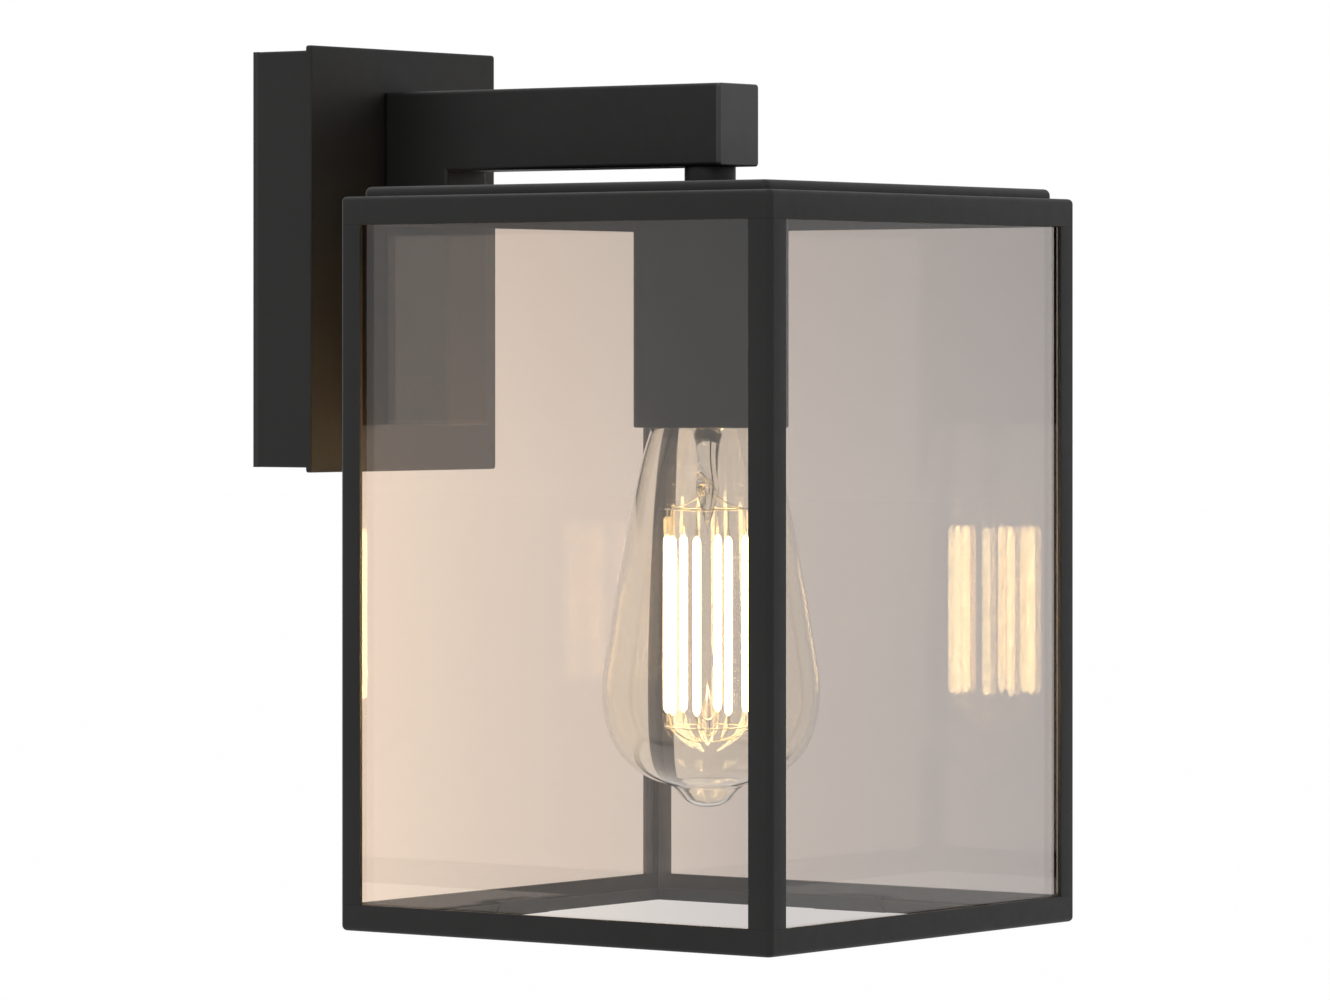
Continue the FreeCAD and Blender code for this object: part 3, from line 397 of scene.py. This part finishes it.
def powder_coat(finish):
    """Fine matt black powder coat: orange-peel grain with a mottled tone."""
    material, tree, shader, out = nodes_of("powder_coat")
    colour = tuple(finish.coat)
    patches = noise(tree, 26.0, 5.0, 0.6)
    tree.links.new(ramp(tree, patches, [(0.3, shade(colour, 0.82)), (0.72, shade(colour, 1.25))]),
                   shader.inputs["Base Color"])
    grain = noise(tree, 0.55 / finish.grain, 2.5, 0.6)
    tree.links.new(span(tree, noise(tree, 210.0, 3.0), 0.46, 0.60), shader.inputs["Roughness"])
    shader.inputs["Specular IOR Level"].default_value = 0.30
    bumped(tree, shader, grain, 0.35, 0.00006)
    return material


def plain(name, colour, roughness, metallic=0.0, scale=300.0, spread=0.12, depth=0.00003, stretch=(1, 1, 1)):
    """A finish with slight changes of tone, sheen and surface."""
    material, tree, shader, out = nodes_of(name)
    tone = noise(tree, scale, 4.0, 0.6, stretch)
    tree.links.new(ramp(tree, tone, [(0.25, shade(colour, 1 - spread)), (0.75, shade(colour, 1 + spread))]),
                   shader.inputs["Base Color"])
    tree.links.new(span(tree, noise(tree, scale * 0.7, 3.0, 0.5, stretch), roughness - 0.06, roughness + 0.08),
                   shader.inputs["Roughness"])
    shader.inputs["Metallic"].default_value = metallic
    bumped(tree, shader, noise(tree, scale * 6, 2.0, 0.5, stretch), 0.25, depth)
    return material


def striped_wire():
    """Green insulation with a yellow stripe."""
    material, tree, shader, out = nodes_of("green_yellow_wire")
    wave = tree.nodes.new("ShaderNodeTexWave")
    where = tree.nodes.new("ShaderNodeTexCoord")
    wave.inputs["Scale"].default_value = 160.0
    tree.links.new(where.outputs["Object"], wave.inputs["Vector"])
    tree.links.new(ramp(tree, wave.outputs["Fac"], [(0.45, (0.06, 0.26, 0.05)), (0.55, (0.75, 0.62, 0.06))]),
                   shader.inputs["Base Color"])
    shader.inputs["Roughness"].default_value = 0.42
    return material


def clear(name, colour, ior, waves):
    """Glass that lets lamp light through: faint ripples bend what shows in it."""
    material, tree, shader, out = nodes_of(name)
    shader.inputs["Base Color"].default_value = (*colour, 1.0)
    shader.inputs["Roughness"].default_value = 0.0
    shader.inputs["IOR"].default_value = ior
    shader.inputs["Transmission Weight"].default_value = 1.0
    bumped(tree, shader, noise(tree, 14.0, 1.0, 0.4), waves, 0.0002)
    light = tree.nodes.new("ShaderNodeBsdfTransparent")
    light.inputs["Color"].default_value = (*colour, 1.0)
    path = tree.nodes.new("ShaderNodeLightPath")
    mix = tree.nodes.new("ShaderNodeMixShader")
    tree.links.new(path.outputs["Is Shadow Ray"], mix.inputs["Fac"])
    tree.links.new(shader.outputs["BSDF"], mix.inputs[1])
    tree.links.new(light.outputs["BSDF"], mix.inputs[2])
    tree.links.new(mix.outputs["Shader"], out.inputs["Surface"])
    return material


def lit_phosphor(finish):
    """Glowing resin over a row of tiny chips: brighter dots along each stick."""
    material, tree, shader, out = nodes_of("lit_phosphor")
    shader.inputs["Base Color"].default_value = (0.95, 0.62, 0.16, 1.0)
    shader.inputs["Roughness"].default_value = 0.55
    dots = tree.nodes.new("ShaderNodeTexWave")
    dots.bands_direction = "Z"
    dots.inputs["Scale"].default_value = 190.0
    where = tree.nodes.new("ShaderNodeTexCoord")
    tree.links.new(where.outputs["Object"], dots.inputs["Vector"])
    glow = tuple(finish.glow)
    tree.links.new(ramp(tree, dots.outputs["Fac"], [(0.0, shade(glow, 0.82)), (1.0, shade(glow, 1.0))]),
                   shader.inputs["Emission Color"])
    shader.inputs["Emission Strength"].default_value = finish.glow_strength
    return material


# ---- operators ----------------------------------------------------------
def dress(material, *names):
    """Gives CAD nodes a material in all their slots."""
    for name in names:
        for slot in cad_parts[name].material_slots:
            slot.material = material


class LANTERN_OT_coat(Operator):
    """Coats the wall box, plate, arm and leg"""
    bl_idname = "lantern.coat"
    bl_label = "Coat the wall side"

    def execute(self, context):
        coat = powder_coat(context.scene.lantern_finish)
        dress(coat, "back_box", "front_plate", "arm_tube", "leg_tube")
        dress(coat, *[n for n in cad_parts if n.startswith("glass_clip_")])
        return {"FINISHED"}


class LANTERN_OT_trim(Operator):
    """Finishes the caps, rubber, screws, strap, connector and lampholder"""
    bl_idname = "lantern.trim"
    bl_label = "Finish the small parts"

    def execute(self, context):
        finish = context.scene.lantern_finish
        dress(plain("black_nylon", (0.016, 0.016, 0.0155), 0.42, scale=240.0), "arm_end_cap", "leg_end_cap",
              "arm_bush", "holder_cap", "holder_body")
        dress(plain("closed_cell_rubber", (0.014, 0.014, 0.014), 0.8, scale=900.0, depth=0.0001),
              "wall_gasket", "cable_grommet")
        dress(plain("zinc_plate", (0.52, 0.52, 0.50), 0.36, 1.0, 120.0, stretch=(1, 1, 12)), "wall_strap",
              "terminal_screws", "terminal_fixing_screw", "arm_screws", "arm_nuts", "nipple", "arm_washer",
              "arm_locknut", "sleeve_locknut")
        dress(plain("blackened_steel", (0.02, 0.02, 0.02), 0.38, 0.6, 400.0), "box_screws")
        dress(plain("contact_brass", tuple(finish.brass), 0.3, 1.0, 200.0), "earth_screw", "holder_shell",
              "holder_contact")
        dress(plain("natural_nylon", (0.74, 0.73, 0.68), 0.4, scale=180.0), "terminal_block")
        dress(plain("soft_solder", (0.5, 0.5, 0.5), 0.4, 1.0, 500.0), "bulb_contact")
        dress(plain("brown_insulation", (0.09, 0.035, 0.018), 0.4), "wire_live")
        dress(plain("blue_insulation", (0.03, 0.12, 0.42), 0.4), "wire_neutral")
        dress(striped_wire(), "wire_earth")
        return {"FINISHED"}


class LANTERN_OT_cage(Operator):
    """Builds the welded cage: bottom channel, head angle and four corner posts"""
    bl_idname = "lantern.cage"
    bl_label = "Build the cage"

    def execute(self, context):
        s = context.scene.lantern_shape
        coat = bpy.data.materials["powder_coat"]
        t = s.sheet
        z = CAGE_LOW
        channel = rounded([(0, z), (0, RAIL_TOP), (t, RAIL_TOP), (t, z + s.lip_sheet),
                           (FLANGE - s.lip_sheet, z + s.lip_sheet), (FLANGE - s.lip_sheet, z + s.lip),
                           (FLANGE, z + s.lip), (FLANGE, z)],
                          [s.edge, s.burr / 2, s.burr, s.burr, s.burr, s.burr, s.burr, s.burr * 2])
        piece("bottom_channel", *framed(channel, CAGE_HALF, s.corner, s.soften), "fixture", "black_coat", coat,
              ["bottom_rail_" + side for side in ("front", "right", "back", "left")])
        z = CAGE_TOP
        head = rounded([(0, HEAD_LOW), (0, z), (FLANGE, z), (FLANGE, z - t), (t, z - t), (t, HEAD_LOW)],
                       [s.burr / 2, s.edge, s.burr, s.burr, s.burr, s.burr])
        piece("head_angle", *framed(head, CAGE_HALF, s.corner, s.soften), "fixture", "black_coat", coat,
              ["top_rail_" + side for side in ("front", "right", "back", "left")])
        legs = rounded([(s.corner, 0), (FLANGE, 0), (FLANGE, t), (t, t), (t, FLANGE), (0, FLANGE), (0, s.corner)],
                       [0, s.burr, s.burr, s.burr, s.burr, s.burr, 0])
        post = np.concatenate([legs[5:-5], land(s.corner, s.soften)[::-1]])
        for name, sx, sy in (("front_left", 1, 1), ("front_right", -1, 1), ("back_right", -1, -1),
                             ("back_left", 1, -1)):
            corner = AXIS - CAGE_HALF * np.array([sx, sy])
            points, faces = prism(corner + post * np.array([sx, sy]), RAIL_TOP, HEAD_LOW)
            piece("post_" + name, points, faces, "fixture", "black_coat", coat, ["corner_post_" + name])
        return {"FINISHED"}


class LANTERN_OT_roof(Operator):
    """Builds the pressed roof tray with its rounded rim"""
    bl_idname = "lantern.roof"
    bl_label = "Build the roof"

    def execute(self, context):
        s = context.scene.lantern_shape
        sheet = s.lip_sheet
        rim = 2.0 * MM
        hub = ROOF_HALF
        turn = np.linspace(0, np.pi / 2, 9)
        edge = np.stack([rim - rim * np.sin(turn), ROOF_TOP - rim + rim * np.cos(turn)], -1)
        profile = np.concatenate([[(hub, ROOF_TOP)], [(hub * 0.5, ROOF_TOP)], edge,
                                  [(0, CAGE_TOP + 0.05 * MM), (sheet, CAGE_TOP + 0.05 * MM),
                                   (sheet, ROOF_TOP - sheet), (hub, ROOF_TOP - sheet)]])
        points, faces = square_ring(profile, ROOF_HALF, 2.4 * MM)
        piece("roof_tray", points, faces, "fixture", "black_coat", bpy.data.materials["powder_coat"],
              ["roof_cap"])
        return {"FINISHED"}


class LANTERN_OT_sleeve(Operator):
    """Turns the lampholder sleeve and the spigot under the arm"""
    bl_idname = "lantern.sleeve"
    bl_label = "Turn the sleeve and spigot"

    def execute(self, context):
        coat = bpy.data.materials["powder_coat"]
        wall = context.scene.lantern_shape.lip_sheet
        r = SLEEVE_R
        cup = rounded([(6 * MM, SLEEVE_TOP), (6 * MM, SLEEVE_TOP - wall), (r - wall, SLEEVE_TOP - wall),
                       (r - wall, SLEEVE_LOW), (r, SLEEVE_LOW), (r, SLEEVE_TOP)],
                      [0.1 * MM, 0.1 * MM, 0.5 * MM, 0.3 * MM, 0.4 * MM, 0.2 * MM])
        points, faces = turned(np.concatenate([cup, cup[:1]]), 128)
        piece("sleeve", points, faces, "fixture", "black_coat", coat, ["holder_sleeve"])
        r = 0.5 * (high("spigot")[0] - low("spigot")[0])
        bottom, top = low("spigot")[2], high("spigot")[2]
        collar = rounded([(5.1 * MM, top), (5.1 * MM, bottom), (r, bottom), (r, top)], 0.25 * MM)
        points, faces = turned(np.concatenate([collar, collar[:1]]), 96)
        piece("spigot_collar", points, faces, "fixture", "black_coat", coat, ["spigot"])
        return {"FINISHED"}


class LANTERN_OT_panes(Operator):
    """Glazes the four sides with float glass whose tint is painted light: a warm glow near the wall, grey shade at
    the front, darker towards the top
    """
    bl_idname = "lantern.panes"
    bl_label = "Glaze the cage"

    def execute(self, context):
        finish = context.scene.lantern_finish
        glass = clear("float_glass_painted_room", tuple(finish.pane_front), 1.5, 0.02)
        tree = glass.node_tree
        where = tree.nodes.new("ShaderNodeTexCoord")
        parts = tree.nodes.new("ShaderNodeSeparateXYZ")
        tree.links.new(where.outputs["Object"], parts.inputs["Vector"])
        # Painted light: the tint runs from a warm glow by the wall to grey shade at the front.
        depth = tree.nodes.new("ShaderNodeMapRange")
        depth.inputs["From Min"].default_value = AXIS[1] + CAGE_HALF
        depth.inputs["From Max"].default_value = AXIS[1] - CAGE_HALF
        tree.links.new(parts.outputs["Y"], depth.inputs["Value"])
        wall = tuple(finish.painted_wall_glow)
        front = tuple(finish.pane_front)
        mid = tuple(0.5 * a + 0.5 * b for a, b in zip(wall, front))
        most = tuple(0.18 * a + 0.82 * b + 0.02 for a, b in zip(wall, front))
        tint = ramp(tree, depth.outputs["Result"], [(0.0, wall), (0.35, mid), (0.65, most), (0.93, front)])
        # Painted shade: the tint is made darker towards the top.
        height = tree.nodes.new("ShaderNodeMapRange")
        height.inputs["From Min"].default_value = CAGE_LOW + 0.6 * (CAGE_TOP - CAGE_LOW)
        height.inputs["From Max"].default_value = CAGE_TOP
        height.inputs["To Min"].default_value = 1.0
        height.inputs["To Max"].default_value = 0.92
        tree.links.new(parts.outputs["Z"], height.inputs["Value"])
        painted_top_shade = tree.nodes.new("ShaderNodeMix")
        painted_top_shade.data_type = "RGBA"
        painted_top_shade.blend_type = "MULTIPLY"
        painted_top_shade.inputs["Factor"].default_value = 1.0
        tree.links.new(tint, painted_top_shade.inputs["A"])
        tree.links.new(height.outputs["Result"], painted_top_shade.inputs["B"])
        for node in tree.nodes:
            if node.bl_idname == "ShaderNodeBsdfPrincipled":
                tree.links.new(painted_top_shade.outputs["Result"], node.inputs["Base Color"])
            if node.bl_idname == "ShaderNodeBsdfTransparent":
                tree.links.new(painted_top_shade.outputs["Result"], node.inputs["Color"])
        dress(glass, *["pane_" + side for side in ("front", "right", "back", "left")])
        return {"FINISHED"}


def envelope(wall):
    """Half outline of the blown glass, neck to tip: radii as shares of the widest, by height shares.

    The neck widens slowly to the belly, closes in a dome and ends in a broad sealed tip. The inner
    outline is the outer one moved inward by the wall along its own normal.
    """
    fall = BULB_NECK - BULB_LOW
    shares = np.array([(0.0, 0.406), (0.07, 0.53), (0.194, 0.665), (0.368, 0.79), (0.494, 0.88), (0.594, 0.942),
                       (0.66, 0.984), (0.726, 1.0), (0.792, 0.969), (0.858, 0.865), (0.905, 0.70),
                       (0.937, 0.48), (0.9485, 0.335)])
    body = smooth_through(np.stack([shares[:, 1] * BULB_R, BULB_NECK - shares[:, 0] * fall], -1), 90)
    start = body[-1]
    drop = start[1] - BULB_LOW
    tip = smooth_through([(start[0] * 0.98, start[1] - 0.05 * drop), (start[0] * 0.86, start[1] - 0.24 * drop),
                          (start[0] * 0.66, start[1] - 0.62 * drop), (start[0] * 0.36, start[1] - 0.92 * drop),
                          (0.0, BULB_LOW)], 24)
    line = np.concatenate([body, tip])
    way = np.gradient(line, axis=0)
    way /= np.linalg.norm(way, axis=1, keepdims=True)
    moved = line + wall * np.stack([way[:, 1], -way[:, 0]], -1)
    moved[:, 0] = np.maximum(moved[:, 0], 0)
    moved[-1, 0] = 0
    return moved


class LANTERN_OT_bulb_glass(Operator):
    """Blows the pear-shaped envelope with its sealed tip"""
    bl_idname = "lantern.bulb_glass"
    bl_label = "Blow the bulb"

    def execute(self, context):
        glass = clear("amber_glass", tuple(context.scene.lantern_finish.bulb_tint), 1.48, 0.05)
        outer = envelope(0.0)
        inner = envelope(0.8 * MM)[::-1]
        points, faces = turned(np.concatenate([outer, inner, outer[:1]]), 144)
        piece("bulb_envelope", points, faces, "bulb", "bulb_glass", glass, ["bulb_glass"], 60.0)
        return {"FINISHED"}


class LANTERN_OT_bulb_cap(Operator):
    """Rolls the screw cap with its helical thread and the black glass button"""
    bl_idname = "lantern.bulb_cap"
    bl_label = "Roll the screw cap"

    def execute(self, context):
        s = context.scene.lantern_shape
        finish = context.scene.lantern_finish
        nickel = plain("nickel_plate", tuple(finish.nickel), 0.24, 1.0, 160.0)
        height = SCREW_TOP - SCREW_LOW
        z = np.linspace(0, height, 90)[:, None]
        turn = np.linspace(0, 2 * np.pi, 96, endpoint=False)[None]
        crest = 0.5 + 0.5 * np.cos(2 * np.pi * (z / s.pitch - turn / (2 * np.pi)))
        fade = np.clip((z - 2.5 * MM) / (1.5 * MM), 0, 1) * np.clip((height - 2.5 * MM - z) / (1.5 * MM), 0, 1)
        shoulder = np.clip((z - height + 2.5 * MM) / (2.5 * MM), 0, 1) ** 1.6
        r = SCREW_R - 0.8 * MM + 0.8 * MM * fade * crest - 1.6 * MM * shoulder
        wall = 0.4 * MM
        shell = np.stack([AXIS[0] + r * np.cos(turn), AXIS[1] + r * np.sin(turn),
                          SCREW_LOW + z + 0 * turn], -1)
        lining = np.stack([AXIS[0] + (r - wall) * np.cos(turn), AXIS[1] + (r - wall) * np.sin(turn),
                           SCREW_LOW + z + 0 * turn], -1)[::-1]
        points = np.concatenate([shell, lining, shell[:1]])
        piece("screw_cap", points, grid_faces(len(points), 96, False, True), "bulb", "nickel", nickel,
              ["bulb_cap"])
        dress(plain("black_lamp_glass", (0.012, 0.012, 0.014), 0.12, scale=60.0), "bulb_insulator")
        return {"FINISHED"}


def stick_angles(count):
    """The sticks stand a little unevenly round the ring."""
    k = np.arange(count)
    return 2 * np.pi * (k + 0.5) / count + math.radians(5.0) * np.sin(2.4 * k)


class LANTERN_OT_sticks(Operator):
    """Makes the lit sticks: rounded resin bars with flat metal ends"""
    bl_idname = "lantern.sticks"
    bl_label = "Make the light sticks"

    def execute(self, context):
        s = context.scene.lantern_shape
        glow = lit_phosphor(context.scene.lantern_finish)
        tinned = plain("tinned_lead", (0.55, 0.53, 0.5), 0.3, 1.0, 600.0)
        r = s.stick_radius
        up = np.linspace(-1, 1, 41)
        half = 0.5 * (STICK_TOP - STICK_LOW) - 2.2 * MM
        girth = r * np.sqrt(np.clip(1 - np.abs(up) ** 26, 0, 1)) * (1 + 0.02 * np.sin(60 * up))
        centre_z = 0.5 * (STICK_TOP + STICK_LOW)
        bar = np.stack([girth, centre_z + half * up], -1)
        bars = []
        ends = []
        for angle in stick_angles(s.sticks):
            spot = AXIS + s.ring_radius * np.array([math.cos(angle), math.sin(angle)])
            bars.append(turned(bar, 16, spot))
            plate = np.array([(-0.45, -0.12), (0.45, -0.12), (0.45, 0.12), (-0.45, 0.12)]) * MM
            spin = np.array([[math.sin(angle), -math.cos(angle)], [math.cos(angle), math.sin(angle)]])
            plate = spot + plate @ spin
            for bottom, top in ((STICK_LOW, STICK_LOW + 2.6 * MM), (STICK_TOP - 2.6 * MM, STICK_TOP)):
                points, faces = prism(plate, bottom, top)
                ends.append((points, np.concatenate([faces, [[3, 2, 1, 0], [4, 5, 6, 7]]])))
        piece("light_sticks", *several(bars), "bulb", "led_glow", glow, ["led_filaments"])
        piece("stick_ends", *several(ends), "bulb", "nickel", tinned)
        return {"FINISHED"}


class LANTERN_OT_mount(Operator):
    """Draws the glass stem, the ring wires and the leads that hold the sticks"""
    bl_idname = "lantern.mount"
    bl_label = "Make the stem and wires"

    def execute(self, context):
        s = context.scene.lantern_shape
        wire = plain("support_wire", (0.50, 0.46, 0.40), 0.28, 1.0, 800.0)
        glass = clear("stem_glass", (0.985, 0.985, 0.98), 1.5, 0.1)
        neck = 9.2 * MM
        press = STICK_TOP + 12.0 * MM
        flare = smooth_through([(neck, STEM_TOP), (neck * 0.72, STEM_TOP - 4 * MM), (4.6 * MM, STEM_TOP - 9 * MM),
                                (3.4 * MM, STEM_TOP - 15 * MM), (3.0 * MM, press + 2 * MM),
                                (2.6 * MM, press - 4 * MM), (1.5 * MM, press - 8 * MM),
                                (1.2 * MM, STICK_LOW + 6 * MM), (1.4 * MM, STEM_LOW + 2 * MM),
                                (0.0, STEM_LOW)], 90)
        points, faces = turned(np.maximum(flare, [[0.0, -1.0]]), 32)
        spread = np.exp(-((points[..., 2] - press) / (5 * MM)) ** 2)
        points[..., 0] = AXIS[0] + (points[..., 0] - AXIS[0]) * (1 + 0.9 * spread)
        points[..., 1] = AXIS[1] + (points[..., 1] - AXIS[1]) * (1 - 0.45 * spread)
        piece("stem", points, faces, "bulb", "stem_glass", glass, ["bulb_stem"], 60.0)
        turn = np.linspace(0, 2 * np.pi, 73)
        parts = []
        lift = {"upper": STICK_TOP + 5.5 * MM, "lower": STICK_LOW - 1.5 * MM}
        for z in lift.values():
            circle = np.stack([AXIS[0] + s.ring_radius * np.cos(turn), AXIS[1] + s.ring_radius * np.sin(turn),
                               z + 0.12 * MM * np.sin(3 * turn)], -1)
            parts.append(pipe(circle, 0.22 * MM, 8))
        u = np.linspace(0, 1, 16)[:, None]
        for k, angle in enumerate(stick_angles(s.sticks)):
            way = np.array([math.cos(angle), math.sin(angle), 0])
            axis = np.array([*AXIS, 0])
            rim = axis + way * s.ring_radius
            up = np.array([0, 0, 1])
            parts.append(pipe(rim + up * ((1 - u) * (STICK_TOP - 1 * MM) + u * lift["upper"]), 0.2 * MM, 6))
            parts.append(pipe(rim + up * ((1 - u) * (STICK_LOW + 1 * MM) + u * lift["lower"]), 0.2 * MM, 6))
            hub = axis + way * 1.1 * MM + up * (STEM_LOW + 1.5 * MM)
            knee = rim * 0.55 + axis * 0.45 + up * (STEM_LOW + 1.0 * MM)
            start = rim + up * lift["lower"]
            parts.append(pipe((1 - u) ** 2 * start + 2 * u * (1 - u) * knee + u**2 * hub, 0.18 * MM, 6))
            if k % 2 == 0:
                top = axis + way * 2.2 * MM + up * (press - 2 * MM)
                bow = rim * 0.5 + axis * 0.5 + up * (lift["upper"] + 0.5 * MM)
                start = rim + up * lift["upper"]
                parts.append(pipe((1 - u) ** 2 * start + 2 * u * (1 - u) * bow + u**2 * top, 0.2 * MM, 6))
        t = np.linspace(0, 1, 160)
        tangle = np.stack([AXIS[0] + 2.6 * MM * np.sin(19 * t) * np.cos(7 * t + 1),
                           AXIS[1] + 1.5 * MM * np.sin(13 * t + 2),
                           press + 5 * MM * (t - 0.5) + 2.0 * MM * np.sin(23 * t)], -1)
        parts.append(pipe(tangle, 0.16 * MM, 6))
        piece("support_wires", *several(parts), "bulb", "nickel", wire, ["bulb_wires_upper", "bulb_wires_lower"])
        return {"FINISHED"}


class LANTERN_OT_stage(Operator):
    """Sets the pale floor, the even studio light and the camera"""
    bl_idname = "lantern.stage"
    bl_label = "Set the studio"

    def execute(self, context):
        set_stage(context)
        return {"FINISHED"}


def background_rays(tree):
    """1 on camera, glossy and transmission rays, which all show the white background."""
    path = tree.nodes.new("ShaderNodeLightPath")
    total = path.outputs["Is Camera Ray"]
    for kind in ("Is Glossy Ray", "Is Transmission Ray"):
        either = tree.nodes.new("ShaderNodeMath")
        either.operation = "MAXIMUM"
        tree.links.new(total, either.inputs[0])
        tree.links.new(path.outputs[kind], either.inputs[1])
        total = either.outputs[0]
    return total


def floor_material():
    """Pale floor that shows as the white background, with the object's soft shadow."""
    material, tree, shader, out = nodes_of("pale_floor")
    shader.inputs["Base Color"].default_value = (0.96, 0.96, 0.96, 1.0)
    shader.inputs["Roughness"].default_value = 0.9
    glow = tree.nodes.new("ShaderNodeEmission")
    glow.inputs["Color"].default_value = (1, 1, 1, 1)
    share = tree.nodes.new("ShaderNodeMath")
    share.operation = "MULTIPLY"
    share.inputs[1].default_value = 0.96
    mix = tree.nodes.new("ShaderNodeMixShader")
    tree.links.new(background_rays(tree), share.inputs[0])
    tree.links.new(share.outputs[0], mix.inputs["Fac"])
    tree.links.new(shader.outputs["BSDF"], mix.inputs[1])
    tree.links.new(glow.outputs["Emission"], mix.inputs[2])
    tree.links.new(mix.outputs["Shader"], out.inputs["Surface"])
    return material


def studio_world(level):
    """White wherever the surroundings show, directly or in metal and glass; an even lower level as light."""
    world = bpy.data.worlds.new("studio")
    world.use_nodes = True
    tree = world.node_tree
    tree.nodes.clear()
    out = tree.nodes.new("ShaderNodeOutputWorld")
    seen = tree.nodes.new("ShaderNodeBackground")
    seen.inputs["Color"].default_value = (1, 1, 1, 1)
    lit = tree.nodes.new("ShaderNodeBackground")
    lit.inputs["Color"].default_value = (1.0, 0.985, 0.965, 1)
    lit.inputs["Strength"].default_value = level
    mix = tree.nodes.new("ShaderNodeMixShader")
    tree.links.new(background_rays(tree), mix.inputs["Fac"])
    tree.links.new(lit.outputs["Background"], mix.inputs[1])
    tree.links.new(seen.outputs["Background"], mix.inputs[2])
    tree.links.new(mix.outputs["Shader"], out.inputs["Surface"])
    return world


def soft_lamp(name, place, aim, size, power):
    """A square area lamp that faces a point."""
    data = bpy.data.lights.new(name, "AREA")
    data.shape = "RECTANGLE"
    data.size, data.size_y = size
    data.energy = power
    lamp = bpy.data.objects.new(name, data)
    lamp.location = place
    way = np.array(aim, float) - np.array(place, float)
    way /= np.linalg.norm(way)
    lamp.rotation_euler = (math.acos(-way[2]), 0.0, math.atan2(way[1], way[0]) - math.pi / 2)
    bpy.context.scene.collection.objects.link(lamp)
    return lamp


def set_stage(context):
    """Floor, world, lamps and camera."""
    scene = context.scene
    stage = scene.lantern_stage
    mesh = bpy.data.meshes.new("floor")
    reach = 40.0
    corners = np.array([(-reach, -reach), (reach, -reach), (reach, reach), (-reach, reach)])
    points = np.concatenate([corners, np.full((4, 1), -stage.floor_drop)], 1)
    mesh.from_pydata(points.tolist(), [], [(0, 1, 2, 3)])
    floor = bpy.data.objects.new("floor", mesh)
    scene.collection.objects.link(floor)
    mesh.materials.append(floor_material())
    scene.world = studio_world(stage.daylight)
    aim = (AXIS[0], AXIS[1], -0.05)
    soft_lamp("key", (-2.2, -0.9, 1.9), aim, (2.0, 2.0), 16.0)
    soft_lamp("fill", (1.6, -2.2, 1.4), aim, (2.0, 2.0), 2.5)
    soft_lamp("rim", (0.6, 1.9, 1.6), aim, (1.6, 1.6), 7.0)
    data = bpy.data.cameras.new("camera")
    data.sensor_width = 36.0
    data.lens = stage.lens
    data.shift_y = stage.rise
    data.clip_end = 200.0
    camera = bpy.data.objects.new("camera", data)
    camera.location = stage.camera
    camera.rotation_euler = (math.pi / 2, 0.0, -stage.heading)
    scene.collection.objects.link(camera)
    scene.camera = camera
    scene.view_settings.view_transform = "Standard"


class LANTERN_PT_build(Panel):
    """Build steps and settings of the lantern"""
    bl_label = "Wall lantern"
    bl_idname = "LANTERN_PT_build"
    bl_space_type = "VIEW_3D"
    bl_region_type = "UI"
    bl_category = "Lantern"

    def draw(self, context):
        for step in STEPS:
            self.layout.operator(step.bl_idname)
        for group in ("lantern_finish", "lantern_shape", "lantern_stage"):
            settings = getattr(context.scene, group)
            box = self.layout.box()
            for key in settings.bl_rna.properties.keys():
                if key not in ("rna_type", "name"):
                    box.prop(settings, key)


STEPS = (LANTERN_OT_coat, LANTERN_OT_trim, LANTERN_OT_cage, LANTERN_OT_roof, LANTERN_OT_sleeve, LANTERN_OT_panes,
         LANTERN_OT_bulb_glass, LANTERN_OT_bulb_cap, LANTERN_OT_sticks, LANTERN_OT_mount, LANTERN_OT_stage)
GROUPS = {"lantern_finish": LanternFinish, "lantern_shape": LanternShape, "lantern_stage": LanternStage}


def register():
    for group in GROUPS.values():
        bpy.utils.register_class(group)
    for step in STEPS:
        bpy.utils.register_class(step)
    bpy.utils.register_class(LANTERN_PT_build)
    for name, group in GROUPS.items():
        setattr(bpy.types.Scene, name, PointerProperty(type=group))


def unregister():
    for name in GROUPS:
        delattr(bpy.types.Scene, name)
    bpy.utils.unregister_class(LANTERN_PT_build)
    for step in reversed(STEPS):
        bpy.utils.unregister_class(step)
    for group in GROUPS.values():
        bpy.utils.unregister_class(group)


def main():
    """Builds everything in order."""
    register()
    for step in STEPS:
        area, name = step.bl_idname.split(".")
        getattr(getattr(bpy.ops, area), name)()


if __name__ == "__main__":
    main()
